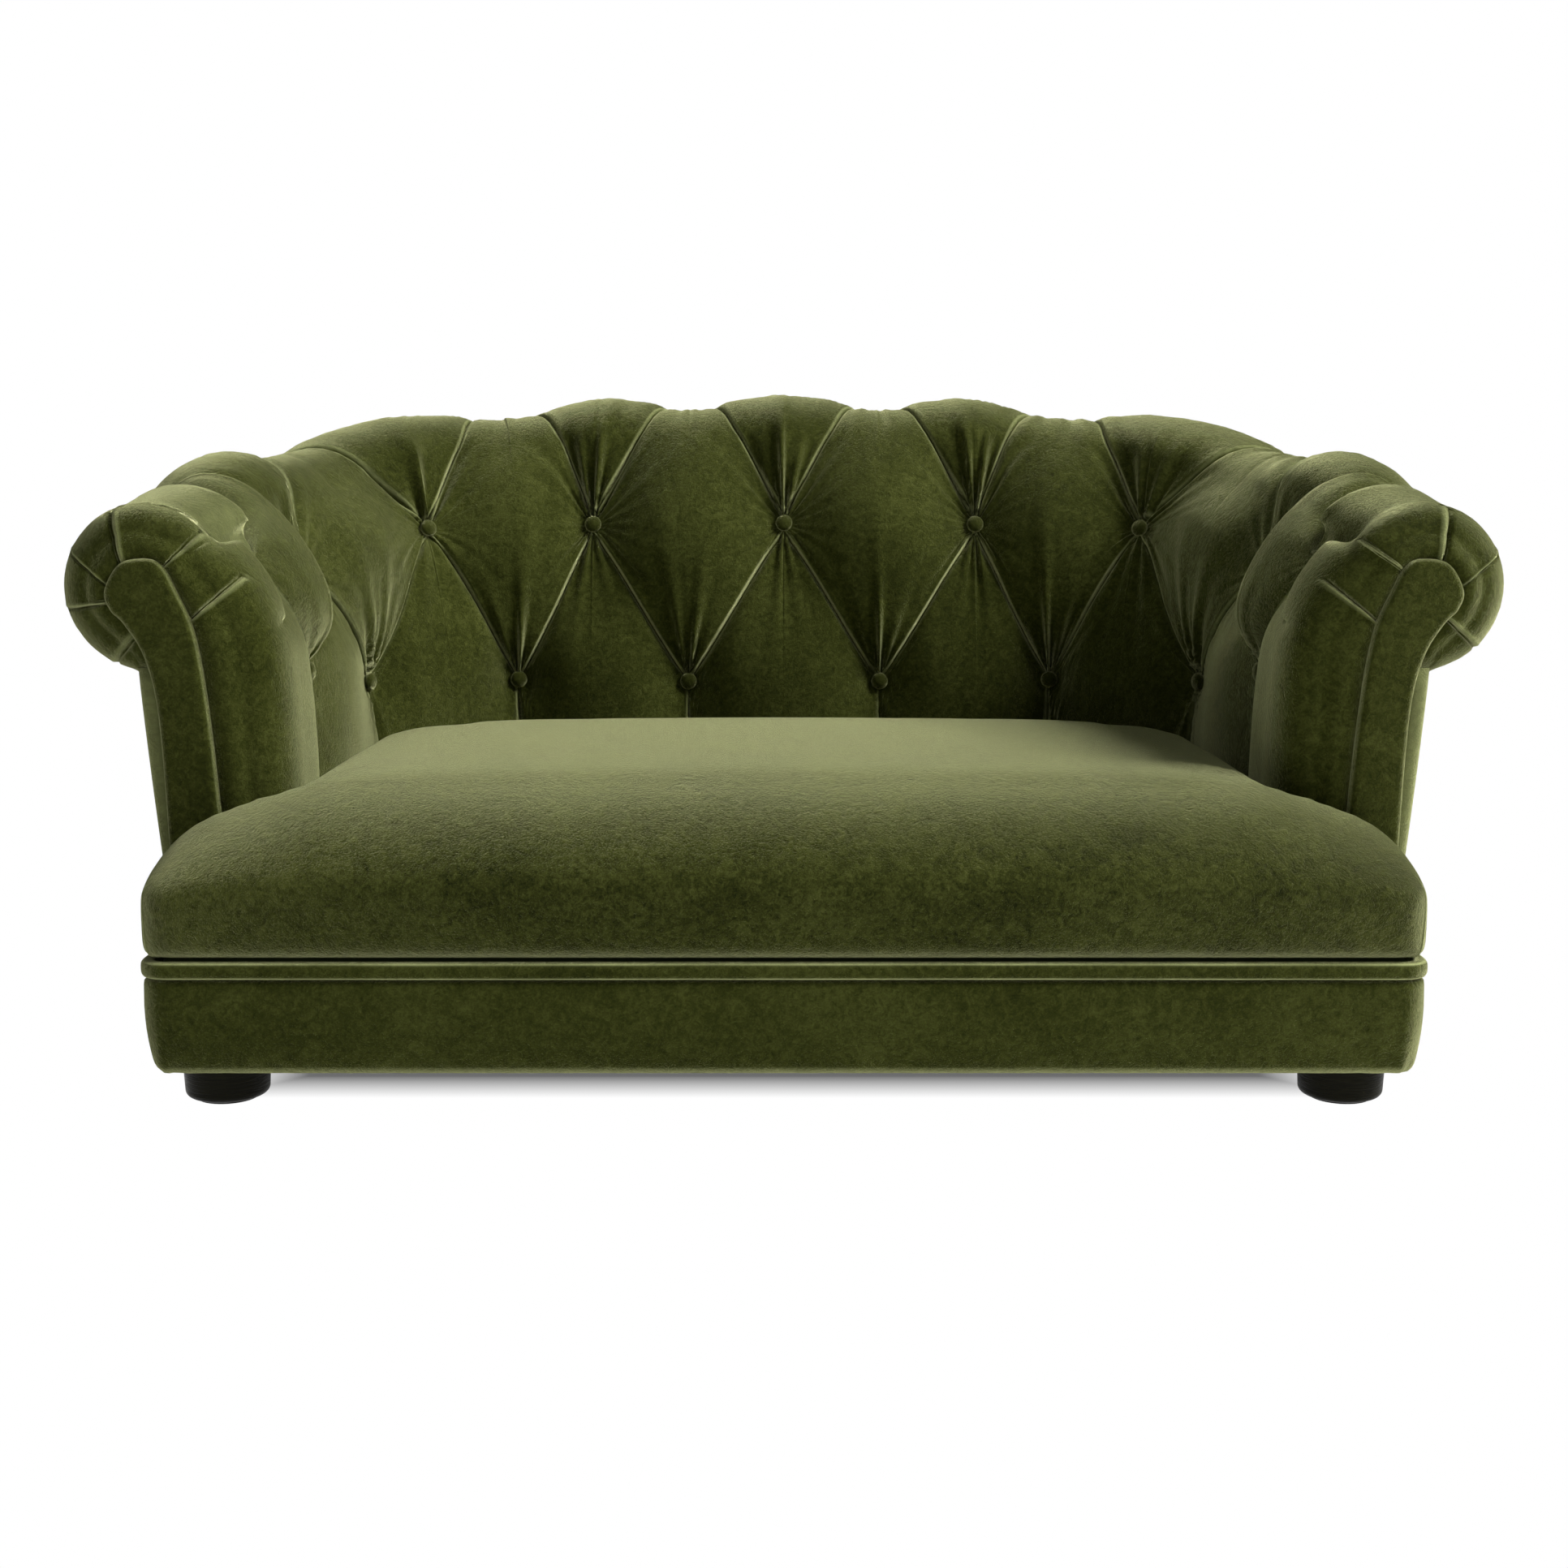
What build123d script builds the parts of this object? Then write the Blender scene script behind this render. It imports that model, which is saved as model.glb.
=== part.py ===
from build123d import *
import math
import os

# A dog's sofa bed: a low tub frame on round feet, with a rolled and diamond-buttoned inside,
# a padded base border under a thick welt, and a loose T-shaped seat cushion that lifts out.
# Millimetres, +Z up, +Y to the back, origin on the floor under the middle of the sofa.

# Plan of the tub, and of the wall round it that stands on the base
tub_inner_width = 690.0
tub_inner_depth = 472.0
tub_corner_radius = 140.0
wall_width = 103.0
arm_front_inset = 90.0
front_corner_radius = 18.0

# Heights, from the floor
foot_height = 31.0
rail_height = 58.0
deck_thickness = 9.0
deck_pad_thickness = 11.0
deck_pad_margin = 2.0
back_height = 501.0
arm_height = 427.0
back_lower_row_height = 252.0
arm_lower_row_height = 284.0
back_upper_row_height = 390.0
arm_upper_row_height = 375.0

# Section of the padded wall, measured outwards from the inner face at seat level
pad_foot_offset = 6.0
back_upper_row_offset = 23.0
arm_upper_row_offset = 38.0
roll_offset = 111.0
roll_radius = 57.0
roll_inner_angle = 35.0
roll_crest_angle = 90.0
roll_hidden_row_angle = 135.0
roll_outer_angle = 185.0
roll_tack_angle = 248.0

# Diamond buttoning: from the middle of the back to the front of an arm there are nine half
# diamonds, with the upper buttons on the even columns and the lower ones on the odd columns
column_shares = (0.0, 0.13, 0.26, 0.36, 0.45, 0.55, 0.645, 0.765, 0.875, 1.0)
height_shares = (1.0, 0.99, 0.96, 0.86, 0.74, 0.53, 0.39, 0.28, 0.16, 0.0)
front_column = len(column_shares) - 1
join_column = 6
last_button_column = 8
span_shares = (0.3, 0.65)
lower_row, upper_row, hidden_row, outer_level, tack_level = 1.0, 2.0, 3.0, 3.5, 4.0
inner_roll_level_share = 0.5
crest_level_share = 0.75
button_depth = 21.0
pleat_depth = 12.0
drop_pleat_depth = 7.0
crest_puff_height = 6.0
seat_level_share = 0.06
shoulder_share = 0.7
lower_break_share = 0.6
pleat_power = 1.5
crown_power = 3.0
front_tuft_share = 0.15
front_pad_thickness = 12.0
front_round_shares = ((1.0, 0.0), (0.45, 0.2), (0.15, 0.55), (0.0, 1.0))
front_round_radius = 8.0
roll_biscuit_share = 0.25
flat_arc_share = 0.02

# Tub frame and linings
pad_back_foot_offset = 45.0
pad_back_top_offset = 70.0
top_rail_width = 26.0
top_rail_height = 24.0
top_rail_rise_height = 10.0
liner_thickness = 3.0
rib_thickness = 15.0
stump_thickness = 18.0
rib_inset = 1.2
outside_panel_thickness = 4.0
fine_span_count = 5
facing_thickness = 8.0
facing_edge_radius = 5.0
facing_round_shares = ((0.0, 0.0), (0.5, 0.0), (0.85, 0.3), (1.0, 1.0))
wall_foot_inset = 2.0
wall_slope_share = 0.09
rib_columns = (-7.5, -5.5, -3.5, -1.5, 1.5, 3.5, 5.5, 7.5)
facing_shares = (
    (0.55, 0.0), (0.64, 0.44), (0.73, 0.68), (0.854, 0.789), (0.94, 0.842), (1.05, 0.861),
    (1.243, 0.849), (1.354, 0.789), (1.32, 0.745), (1.229, 0.713), (1.097, 0.637),
    (1.02, 0.511), (0.985, 0.26), (0.97, 0.0),
)

# Base
border_thickness = 13.5
border_drop_height = 2.0
border_draw_depth = 12.0
border_height_shares = (0.0, 0.06, 0.16, 0.34, 0.7, 1.0)
border_draw_shares = (1.0, 0.68, 0.42, 0.2, 0.0, 0.05)
least_corner_radius = 3.0
welt_diameter = 12.6
welt_proud_depth = 2.3
rail_thickness = 20.0
bearer_width = 40.0
bearer_height = 20.0
bearer_spacing = 230.0
block_width = 76.0
dust_cover_thickness = 1.0

# Feet and their fixings
foot_diameter = 62.0
foot_taper_width = 1.5
foot_edge_radius = 5.0
front_foot_inset_x = 48.0
front_foot_inset_y = 47.0
rear_foot_inset = 54.5
rear_foot_angle = 49.0
bolt_diameter = 8.0
bolt_foot_depth = 20.0
bolt_block_depth = 34.0
nut_diameter = 11.0
nut_length = 18.0
nut_flange_diameter = 22.0
nut_flange_thickness = 1.6
glide_diameter = 44.0
glide_thickness = 2.0

# Buttons
button_diameter = 15.0
button_height = 6.5
button_rim_height = 2.0

# Seat cushion
cushion_edge_height = 44.0
cushion_crown_height = 119.0
cushion_rear_height = 104.0
cushion_side_gap = 6.0
cushion_rear_gap = 6.0
cushion_ear_gap = 1.5
cushion_shoulder_width = 110.0
cushion_draw_depth = 4.0
cover_thickness = 2.5
cushion_side_radius = 24.0
cushion_side_width = 42.0
cushion_rear_length = 60.0
shoulder_round_share = 0.66
shoulder_place_share = 0.3
shoulder_height_share = 0.95
front_place_shares = (0.0, 0.05, 0.16, 0.38, 0.68, 1.0)
front_rise_shares = (0.0, 0.17, 0.4, 0.68, 0.89, 1.0)
front_corner_shares = (0.7, 0.3, 0.05, 0.0, 0.0, 0.0)
rear_start_share = 0.68
side_place_shares = (0.0, 0.25, 0.5, 0.75, 1.0)
side_draw_shares = (0.0, 0.7, 1.0, 0.7, 0.0)
corner_turns = (0.0, 22.0, 42.0, 58.0, 70.0, 80.0, 90.0)

# Fits
seat_gap = 0.3
bore_gap = 0.2
cut_overrun_length = 5.0

# Worked out from the sizes above
half_tub = tub_inner_width / 2
half_base = half_tub + wall_width
base_width = 2 * half_base
base_depth = tub_inner_depth + wall_width
rear_corner_radius = tub_corner_radius + wall_width
front_y = -(tub_inner_depth + roll_offset + roll_radius - welt_proud_depth) / 2
back_y = front_y + tub_inner_depth
arm_front_y = front_y + arm_front_inset
straight_back = half_tub - tub_corner_radius
straight_arm = tub_inner_depth - arm_front_inset - tub_corner_radius
corner_run = tub_corner_radius * math.pi / 2
path_length = straight_back + corner_run + straight_arm
rail_top = foot_height + rail_height
deck_top = rail_top + deck_thickness
deck_pad_top = deck_top + deck_pad_thickness
border_bottom = foot_height - border_drop_height
welt_centre_inset = welt_diameter / 2 - welt_proud_depth
border_top = deck_pad_top - welt_diameter - 2 * seat_gap
wall_foot = deck_pad_top + seat_gap


def save(shapes, name):
    """Write one node; a list becomes a group of separate solids."""
    solids = []
    for shape in shapes if isinstance(shapes, (list, tuple)) else [shapes]:
        solids.extend(shape.solids())
    node = solids[0] if len(solids) == 1 else Compound(children=solids)
    node.label = name
    export_step(node, os.path.join("parts", name + ".step"))


def between(values, place):
    """Read a list of values at a place that may lie between two of them."""
    index = min(int(place), len(values) - 2)
    return values[index] + (values[index + 1] - values[index]) * (place - index)


def mix(arm_value, back_value, share):
    return arm_value + (back_value - arm_value) * share


# The path of the tub's inner face at seat level, from the middle of the back to an arm's front
def station(column):
    """Plan point, outward direction and height share of a column; negative columns are left."""
    side = -1 if column < 0 else 1
    along = path_length * between(column_shares, abs(column))
    share = between(height_shares, abs(column))
    if along <= straight_back:
        x, y, turn = along, back_y, 0.0
    elif along <= straight_back + corner_run:
        turn = (along - straight_back) / tub_corner_radius
        x = straight_back + tub_corner_radius * math.sin(turn)
        y = back_y - tub_corner_radius * (1 - math.cos(turn))
    else:
        turn = math.pi / 2
        x = half_tub
        y = back_y - tub_corner_radius - (along - straight_back - corner_run)
    return side * x, y, side * math.sin(turn), math.cos(turn), share


def spot(column, out, height):
    """The point that lies a distance out from the path, at a height."""
    x, y, out_x, out_y, _ = station(column)
    return Vector(x + out_x * out, y + out_y * out, height)


# The wall's section: a smooth curve of levels, from the deck (0) over the roll to its tacking (4)
def roll_centre(share):
    return roll_offset, mix(arm_height, back_height, share) - roll_radius


def roll_point(share, angle):
    out, height = roll_centre(share)
    turn = math.radians(angle)
    return out - roll_radius * math.cos(turn), height + roll_radius * math.sin(turn)


def level_knots(share):
    lower = mix(arm_lower_row_height, back_lower_row_height, share)
    upper = mix(arm_upper_row_height, back_upper_row_height, share)
    upper_out = mix(arm_upper_row_offset, back_upper_row_offset, share)
    return (
        (0.0, pad_foot_offset, wall_foot),
        (lower_row, 0.0, lower),
        (upper_row, upper_out, upper),
        (upper_row + inner_roll_level_share, *roll_point(share, roll_inner_angle)),
        (upper_row + crest_level_share, *roll_point(share, roll_crest_angle)),
        (hidden_row, *roll_point(share, roll_hidden_row_angle)),
        (outer_level, *roll_point(share, roll_outer_angle)),
        (tack_level, *roll_point(share, roll_tack_angle)),
    )


def curve_point(knots, level):
    """Point and direction of a smooth curve through the knots."""
    last = len(knots) - 1
    index = 0
    while index < last - 1 and level > knots[index + 1][0]:
        index += 1
    slopes = []
    for near in (index, index + 1):
        before, after = knots[max(near - 1, 0)], knots[min(near + 1, last)]
        slopes.append([(after[i] - before[i]) / (after[0] - before[0]) for i in (1, 2)])
    start, end = knots[index], knots[index + 1]
    run = end[0] - start[0]
    u = (level - start[0]) / run
    point, direction = [], []
    for i in (0, 1):
        p, q = start[i + 1], end[i + 1]
        a, b = slopes[0][i] * run, slopes[1][i] * run
        point.append(p + u * (a + u * (3 * (q - p) - 2 * a - b + u * (2 * (p - q) + a + b))))
        direction.append(a + u * (2 * (3 * (q - p) - 2 * a - b) + u * 3 * (2 * (p - q) + a + b)))
    return point, direction


def pad_point(share, level, depth):
    """Point of the padding's face, sunk by a depth along the face's normal."""
    (out, height), (d_out, d_height) = curve_point(level_knots(share), level)
    size = math.hypot(d_out, d_height)
    return out + depth * d_height / size, height - depth * d_out / size


def back_of_pad(share, height):
    """How far out the padding's flat back lies at a height."""
    top = roll_centre(share)[1] + top_rail_rise_height
    rise = (height - wall_foot) / (top - wall_foot)
    return mix(pad_back_foot_offset, pad_back_top_offset, rise)


# Tufted padding
def bowed(start, middle, end):
    """An arc through three points, or a line where they lie almost in line."""
    chord = end - start
    sagitta = chord.cross(middle - start).length / chord.length
    if sagitta < flat_arc_share * chord.length:
        return Edge.make_line(start, end)
    return Edge.make_three_point_arc(start, middle, end)


def pad_section(column, sunk=0.0, closed=False):
    """Outline of the padding at a column: three biscuits in front, flats round the frame behind.

    Pleats run down and up from each upper button to the rows beside it, so away from an
    upper button's column they part by the same share as the column has moved. A closed
    section has no room for the frame: it is the padding over an arm's front."""
    _, _, _, _, share = station(column)
    place = abs(column)
    away = abs((place + 1) % 2 - 1)
    fade = 1.0
    if place > last_button_column:
        fade = mix(1.0, front_tuft_share, place - last_button_column)
    parted = seat_level_share + (1 - seat_level_share) * away
    button, pleat = button_depth * fade, pleat_depth * fade
    seam = pleat + (button - pleat) * abs(2 * away - 1) ** pleat_power
    centre = button * (1 - math.sin(away * math.pi / 2))
    drop = drop_pleat_depth * fade * away ** 2

    def at(level, depth):
        return spot(column, *pad_point(share, level, depth + sunk))

    def middle_biscuit(part):
        depth = centre + (seam - centre) * abs(part) ** crown_power
        return at(upper_row + part * parted, depth)

    low, high = upper_row - parted, upper_row + parted
    upper_mid = (high + outer_level) / 2
    crest = drop - crest_puff_height * fade * (1 - away ** 2)
    roll_mid = at((high + upper_mid) / 2, (seam + crest) * roll_biscuit_share)

    def lower_biscuit(part):
        return at(part * low, drop + (seam - drop) * part ** crown_power)

    front = [
        (lower_biscuit(0), lower_biscuit(lower_break_share / 2), lower_biscuit(lower_break_share)),
        (lower_biscuit(lower_break_share), lower_biscuit((1 + lower_break_share) / 2), lower_biscuit(1)),
        (middle_biscuit(-1), middle_biscuit(-1 / 2), middle_biscuit(0)),
        (middle_biscuit(0), middle_biscuit(shoulder_share / 2), middle_biscuit(shoulder_share)),
        (middle_biscuit(shoulder_share), middle_biscuit((1 + shoulder_share) / 2), middle_biscuit(1)),
        (middle_biscuit(1), roll_mid, at(upper_mid, crest)),
        (at(upper_mid, crest), at((upper_mid + outer_level) / 2, drop / 2), at(outer_level, 0.0)),
        (at(outer_level, 0.0), at((outer_level + tack_level) / 2, 0.0), at(tack_level, 0.0)),
    ]
    edges = [bowed(*points) for points in front]
    tack, foot = at(tack_level, 0.0), lower_biscuit(0)
    if closed:
        sides = [
            spot(column, wall_out(tack.Z) - sunk, tack.Z),
            spot(column, wall_out(wall_foot) - sunk, wall_foot),
        ]
    else:
        rail_outer = pad_back_top_offset + top_rail_width + 2 * seat_gap
        rail_top_height = roll_centre(share)[1] + top_rail_rise_height
        sides = [
            spot(column, rail_outer, tack.Z),
            spot(column, rail_outer, rail_top_height),
            spot(column, pad_back_top_offset, rail_top_height),
            spot(column, pad_back_foot_offset, wall_foot),
        ]
    corners = [tack, *sides, foot]
    edges += [Edge.make_line(a, b) for a, b in zip(corners, corners[1:])]
    return Wire(edges)


def column_steps(first, last):
    """Columns to build at: each half diamond is cut at the same shares, seen from its even end."""
    steps = []
    for column in range(first, last):
        steps.append(column)
        if column % 2 == 0:
            steps += [column + share for share in span_shares]
        else:
            steps += [column + 1 - share for share in reversed(span_shares)]
    return steps + [last]


def inward(column, distance):
    """The column that lies a distance nearer the middle of the back, along the path."""
    index = math.ceil(abs(column)) - 1
    run = path_length * (column_shares[index + 1] - column_shares[index])
    return math.copysign(abs(column) - distance / run, column)


def lofted(wires):
    return Solid.make_loft(wires, ruled=True)


def button_spots(columns):
    """The plane of each button's seat: upper row on even columns, the others on odd ones."""
    spots = []
    for column in columns:
        for level in (upper_row,) if column % 2 == 0 else (lower_row, hidden_row):
            x, y, out_x, out_y, share = station(column)
            _, (d_out, d_height) = curve_point(level_knots(share), level)
            size = math.hypot(d_out, d_height)
            faces = Vector(-out_x * d_height, -out_y * d_height, d_out) / size
            seat = spot(column, *pad_point(share, level, button_depth))
            spots.append(Plane(origin=seat, z_dir=faces))
    return spots


def with_pockets(pad, spots):
    pocket = Cylinder(
        button_diameter / 2 + seat_gap,
        button_depth + cut_overrun_length,
        align=(Align.CENTER, Align.CENTER, Align.MIN),
    )
    for place in spots:
        pad = pad - place * pocket
    return pad


def covered_button():
    """A domed, fabric-covered button that sits in its pocket."""
    radius = button_diameter / 2
    rise = button_height - button_rim_height
    dome = (radius ** 2 + rise ** 2) / (2 * rise)
    barrel = Cylinder(radius, button_height, align=(Align.CENTER, Align.CENTER, Align.MIN))
    return barrel & (Location((0, 0, button_height - dome)) * Sphere(dome))


def buttons(spots):
    head = Location((0, 0, seat_gap)) * covered_button()
    return [place * head for place in spots]


back_columns = list(range(-join_column, join_column + 1))
arm_columns = list(range(join_column + 1, last_button_column + 1))
back_spots = button_spots(back_columns)
join_spots = {side: button_spots([side * join_column]) for side in (-1, 1)}
arm_spots = {side: button_spots([side * column for column in arm_columns]) for side in (-1, 1)}


def back_pad():
    steps = column_steps(-join_column, join_column)
    steps[0], steps[-1] = inward(steps[0], seat_gap), inward(steps[-1], seat_gap)
    pad = lofted([pad_section(column) for column in steps])
    return with_pockets(pad, back_spots)


def arm_pad(side):
    """The padding of one arm; its front closes over the stump and is rounded over."""
    steps = column_steps(join_column, front_column)
    steps[-1] = inward(front_column, front_pad_thickness)
    pad = lofted([pad_section(side * column) for column in steps])
    front_wires = []
    for place, sunk in front_round_shares:
        column = side * inward(front_column, place * front_pad_thickness)
        front_wires.append(pad_section(column, sunk * front_round_radius, closed=True))
    front = lofted(front_wires)
    return with_pockets(pad + front, join_spots[side] + arm_spots[side])


# Tub frame: front stumps, ribs, the rail inside the roll, the liner and the outside panels
def rail_top_of(share):
    return roll_centre(share)[1] + top_rail_rise_height - seat_gap


def rail_bottom_of(share):
    return rail_top_of(share) - top_rail_height


def tack_height_of(share):
    return roll_point(share, roll_tack_angle)[1]


def wall_out(height):
    """Outer face of the outside panels at a height: they lean out as they rise."""
    return wall_width - wall_foot_inset + wall_slope_share * (height - wall_foot)


def support_outline(column, thickness):
    """Outline of a stump or rib, inside the liner and the outside panel and under the rail."""
    edges = [inward(column, way * thickness / 2) for way in (-1, 1)]
    share = min(station(edge)[4] for edge in edges)
    behind_liner = liner_thickness + 2 * seat_gap
    behind_panel = outside_panel_thickness + seat_gap
    rail_outer = pad_back_top_offset + top_rail_width - rib_inset
    rail_bottom = rail_bottom_of(share)
    under_roll = tack_height_of(share) - seat_gap
    foot_out = wall_width - welt_centre_inset - welt_diameter / 2 - seat_gap
    foot_top = wall_foot + seat_gap
    return [
        (back_of_pad(share, deck_top) + behind_liner, deck_top),
        (back_of_pad(share, rail_bottom) + behind_liner, rail_bottom),
        (rail_outer, rail_bottom),
        (rail_outer, under_roll),
        (wall_out(under_roll) - behind_panel, under_roll),
        (wall_out(foot_top) - behind_panel, foot_top),
        (foot_out, foot_top),
        (foot_out, deck_top),
    ]


def support(column, thickness):
    """A plywood profile that stands on the deck across the path, centred on its column."""
    x, y, out_x, out_y, _ = station(column)
    across = Plane(origin=(x, y, 0), x_dir=(out_x, out_y, 0), z_dir=(out_y, -out_x, 0))
    outline = Wire.make_polygon([(out, height, 0) for out, height in support_outline(column, thickness)])
    return extrude(across * Face(outline), amount=thickness / 2, both=True)


def strip(columns, corners):
    """A strip that follows the path, from the corners of its section at each column."""
    wires = []
    for column in columns:
        points = [spot(column, *corner) for corner in corners(station(column)[4])]
        wires.append(Wire.make_polygon(points))
    return lofted(wires)


def top_rail_corners(share):
    inner, outer = pad_back_top_offset + seat_gap, pad_back_top_offset + seat_gap + top_rail_width
    low, high = rail_bottom_of(share), rail_top_of(share)
    return (inner, low), (inner, high), (outer, high), (outer, low)


def liner_corners(share):
    low, high = deck_top, rail_bottom_of(share) - seat_gap
    inner_low, inner_high = (back_of_pad(share, height) + seat_gap for height in (low, high))
    return (
        (inner_low, low),
        (inner_high, high),
        (inner_high + liner_thickness, high),
        (inner_low + liner_thickness, low),
    )


def outside_corners(share):
    low, high = wall_foot, tack_height_of(share) - seat_gap
    return (
        (wall_out(low) - outside_panel_thickness, low),
        (wall_out(high) - outside_panel_thickness, high),
        (wall_out(high), high),
        (wall_out(low), low),
    )


def fine_steps(first, last):
    """Evenly spaced columns, close enough for a wide sheet to bend without flats."""
    count = (last - first) * fine_span_count
    return [first + index / fine_span_count for index in range(count + 1)]


def back_strip(corners, steps):
    steps[0], steps[-1] = inward(steps[0], seat_gap), inward(steps[-1], seat_gap)
    return strip(steps, corners)


def arm_strip(side, corners, steps, front_margin):
    steps[-1] = inward(front_column, front_margin)
    return strip([side * column for column in steps], corners)


def arm_stump(side):
    middle = front_pad_thickness + seat_gap + stump_thickness / 2
    return support(side * inward(front_column, middle), stump_thickness)


def facing_outline(side, forward, inset):
    """Outline of a facing at a distance before the arm's front, drawn in all round by an inset."""
    rise = arm_height - wall_foot
    points = [(out * wall_width, up * rise) for out, up in facing_shares]
    placed = []
    for index, (out, up) in enumerate(points):
        before, after = points[index - 1], points[(index + 1) % len(points)]
        d_out, d_up = after[0] - before[0], after[1] - before[1]
        size = math.hypot(d_out, d_up)
        x = side * (half_tub + out + inset * d_up / size)
        placed.append(Vector(x, arm_front_y - forward, wall_foot + up - inset * d_out / size))
    edges = [Edge.make_line(placed[0], placed[1])]
    for index in range(1, len(placed) - 2, 2):
        edges.append(Edge.make_three_point_arc(*placed[index:index + 3]))
    edges.append(Edge.make_line(placed[-1], placed[0]))
    return Wire(edges)


def arm_facing(side):
    """The cane-shaped padded panel that closes an arm's front."""
    return lofted([
        facing_outline(side, seat_gap + place * facing_thickness, inset * facing_edge_radius)
        for place, inset in facing_round_shares
    ])


# Base: plan outlines, rails, deck, border and welt
def base_outline(inset):
    """Plan of the base, with small front corners and rear corners that follow the tub."""
    width, depth = base_width - 2 * inset, base_depth - 2 * inset
    sheet = Location((0, front_y + base_depth / 2, 0)) * Rectangle(width, depth)
    rows = sheet.vertices().group_by(Axis.Y)
    sheet = fillet(rows[0], max(front_corner_radius - inset, least_corner_radius))
    rows = sheet.vertices().group_by(Axis.Y)
    return fillet(rows[-1], rear_corner_radius - inset)


def raised(sheet, low, high):
    return extrude(Location((0, 0, low)) * sheet, amount=high - low, dir=(0, 0, 1))


def slab(low_x, high_x, low_y, high_y, low, high):
    """A block between two corners."""
    centre = ((low_x + high_x) / 2, (low_y + high_y) / 2, (low + high) / 2)
    return Location(centre) * Box(high_x - low_x, high_y - low_y, high - low)


rail_outer_inset = border_thickness + seat_gap
rail_inner_inset = rail_outer_inset + rail_thickness
rear_y = front_y + base_depth
corner_start_y = rear_y - rear_corner_radius
front_rail_back = front_y + rail_inner_inset
side_rail_in = half_base - rail_inner_inset


def rail_pieces():
    """The six rails of the base: four straight ones and two bent round the rear corners."""
    sheet = base_outline(rail_outer_inset) - base_outline(rail_inner_inset)
    ring = raised(sheet, foot_height, rail_top)

    def piece(low_x, high_x, low_y, high_y):
        return ring & slab(low_x, high_x, low_y, high_y, foot_height, rail_top)

    return {
        "front_rail": piece(-half_base, half_base, front_y, front_rail_back),
        "left_side_rail": piece(-half_base, -side_rail_in, front_rail_back, corner_start_y),
        "right_side_rail": piece(side_rail_in, half_base, front_rail_back, corner_start_y),
        "rear_rail": piece(-straight_back, straight_back, corner_start_y, rear_y),
        "left_corner_rail": piece(-half_base, -straight_back, corner_start_y, rear_y),
        "right_corner_rail": piece(straight_back, half_base, corner_start_y, rear_y),
    }


front_foot_x, front_foot_y = half_base - front_foot_inset_x, front_y + front_foot_inset_y
rear_foot_reach = rear_corner_radius - rear_foot_inset
rear_foot_turn = math.radians(rear_foot_angle)
rear_foot_x = half_base - rear_corner_radius + rear_foot_reach * math.cos(rear_foot_turn)
rear_foot_y = corner_start_y + rear_foot_reach * math.sin(rear_foot_turn)
foot_places = {
    "front_left": (-front_foot_x, front_foot_y),
    "front_right": (front_foot_x, front_foot_y),
    "rear_left": (-rear_foot_x, rear_foot_y),
    "rear_right": (rear_foot_x, rear_foot_y),
}
inside_rails = rail_inner_inset + seat_gap
upright = (Align.CENTER, Align.CENTER, Align.MIN)


def corner_block(place):
    """A hardwood block in a corner of the base, bored for a foot's insert nut and bolt."""
    x, y = place
    half = block_width / 2
    block = slab(x - half, x + half, y - half, y + half, foot_height, rail_top)
    block = block & raised(base_outline(inside_rails), foot_height, rail_top)
    at = Location((x, y, foot_height))
    block -= at * Cylinder(nut_diameter / 2 + bore_gap, nut_length + bore_gap, align=upright)
    block -= at * Cylinder(
        nut_flange_diameter / 2 + bore_gap, nut_flange_thickness + bore_gap, align=upright
    )
    block -= at * Cylinder(bolt_diameter / 2 + bore_gap, bolt_block_depth + bore_gap, align=upright)
    return block


def insert_nut(place):
    at = Location((*place, foot_height))
    nut = at * Cylinder(nut_diameter / 2, nut_length, align=upright)
    nut += at * Cylinder(nut_flange_diameter / 2, nut_flange_thickness, align=upright)
    return nut - at * Cylinder(bolt_diameter / 2 + bore_gap, nut_length, align=upright)


def foot_bolt(place):
    at = Location((*place, foot_height - bolt_foot_depth))
    return at * Cylinder(bolt_diameter / 2, bolt_foot_depth + bolt_block_depth, align=upright)


def foot(place):
    """A turned round foot, a little narrower at the floor and rounded over there."""
    at = Location((*place, glide_thickness))
    height = foot_height - glide_thickness
    body = at * Cone(
        foot_diameter / 2 - foot_taper_width, foot_diameter / 2, height, align=upright
    )
    body = fillet(body.edges().sort_by(Axis.Z)[0], foot_edge_radius)
    bore = Cylinder(bolt_diameter / 2 + bore_gap, bolt_foot_depth + bore_gap, align=upright)
    return body - Location((*place, foot_height - bolt_foot_depth - bore_gap)) * bore


def foot_glide(place):
    return Location((*place, 0)) * Cylinder(glide_diameter / 2, glide_thickness, align=upright)


def cross_bearers():
    """Flat bearers from front to back that carry the deck."""
    inside = raised(base_outline(inside_rails), foot_height, rail_top)
    half = bearer_width / 2
    bearers = []
    for x in (-bearer_spacing, 0, bearer_spacing):
        bar = slab(x - half, x + half, front_y, rear_y, rail_top - bearer_height, rail_top)
        bearers.append(bar & inside)
    return bearers


def deck_pad():
    """The thin platform pad under the cushion: T-shaped, in front of and between the arms."""
    inset = rail_outer_inset
    out = pad_back_foot_offset - deck_pad_margin
    low_y, high_y = front_y + inset, back_y + out
    middle = Location((0, (low_y + high_y) / 2, 0)) * Rectangle(
        2 * (half_tub + out), high_y - low_y
    )
    middle = fillet(middle.vertices().group_by(Axis.Y)[-1], tub_corner_radius + out)
    front = base_outline(inset) & (
        Location((0, (front_y + arm_front_y - seat_gap) / 2, 0))
        * Rectangle(base_width, arm_front_y - seat_gap - front_y)
    )
    return raised(middle + front, deck_top + seat_gap, deck_pad_top)


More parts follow.
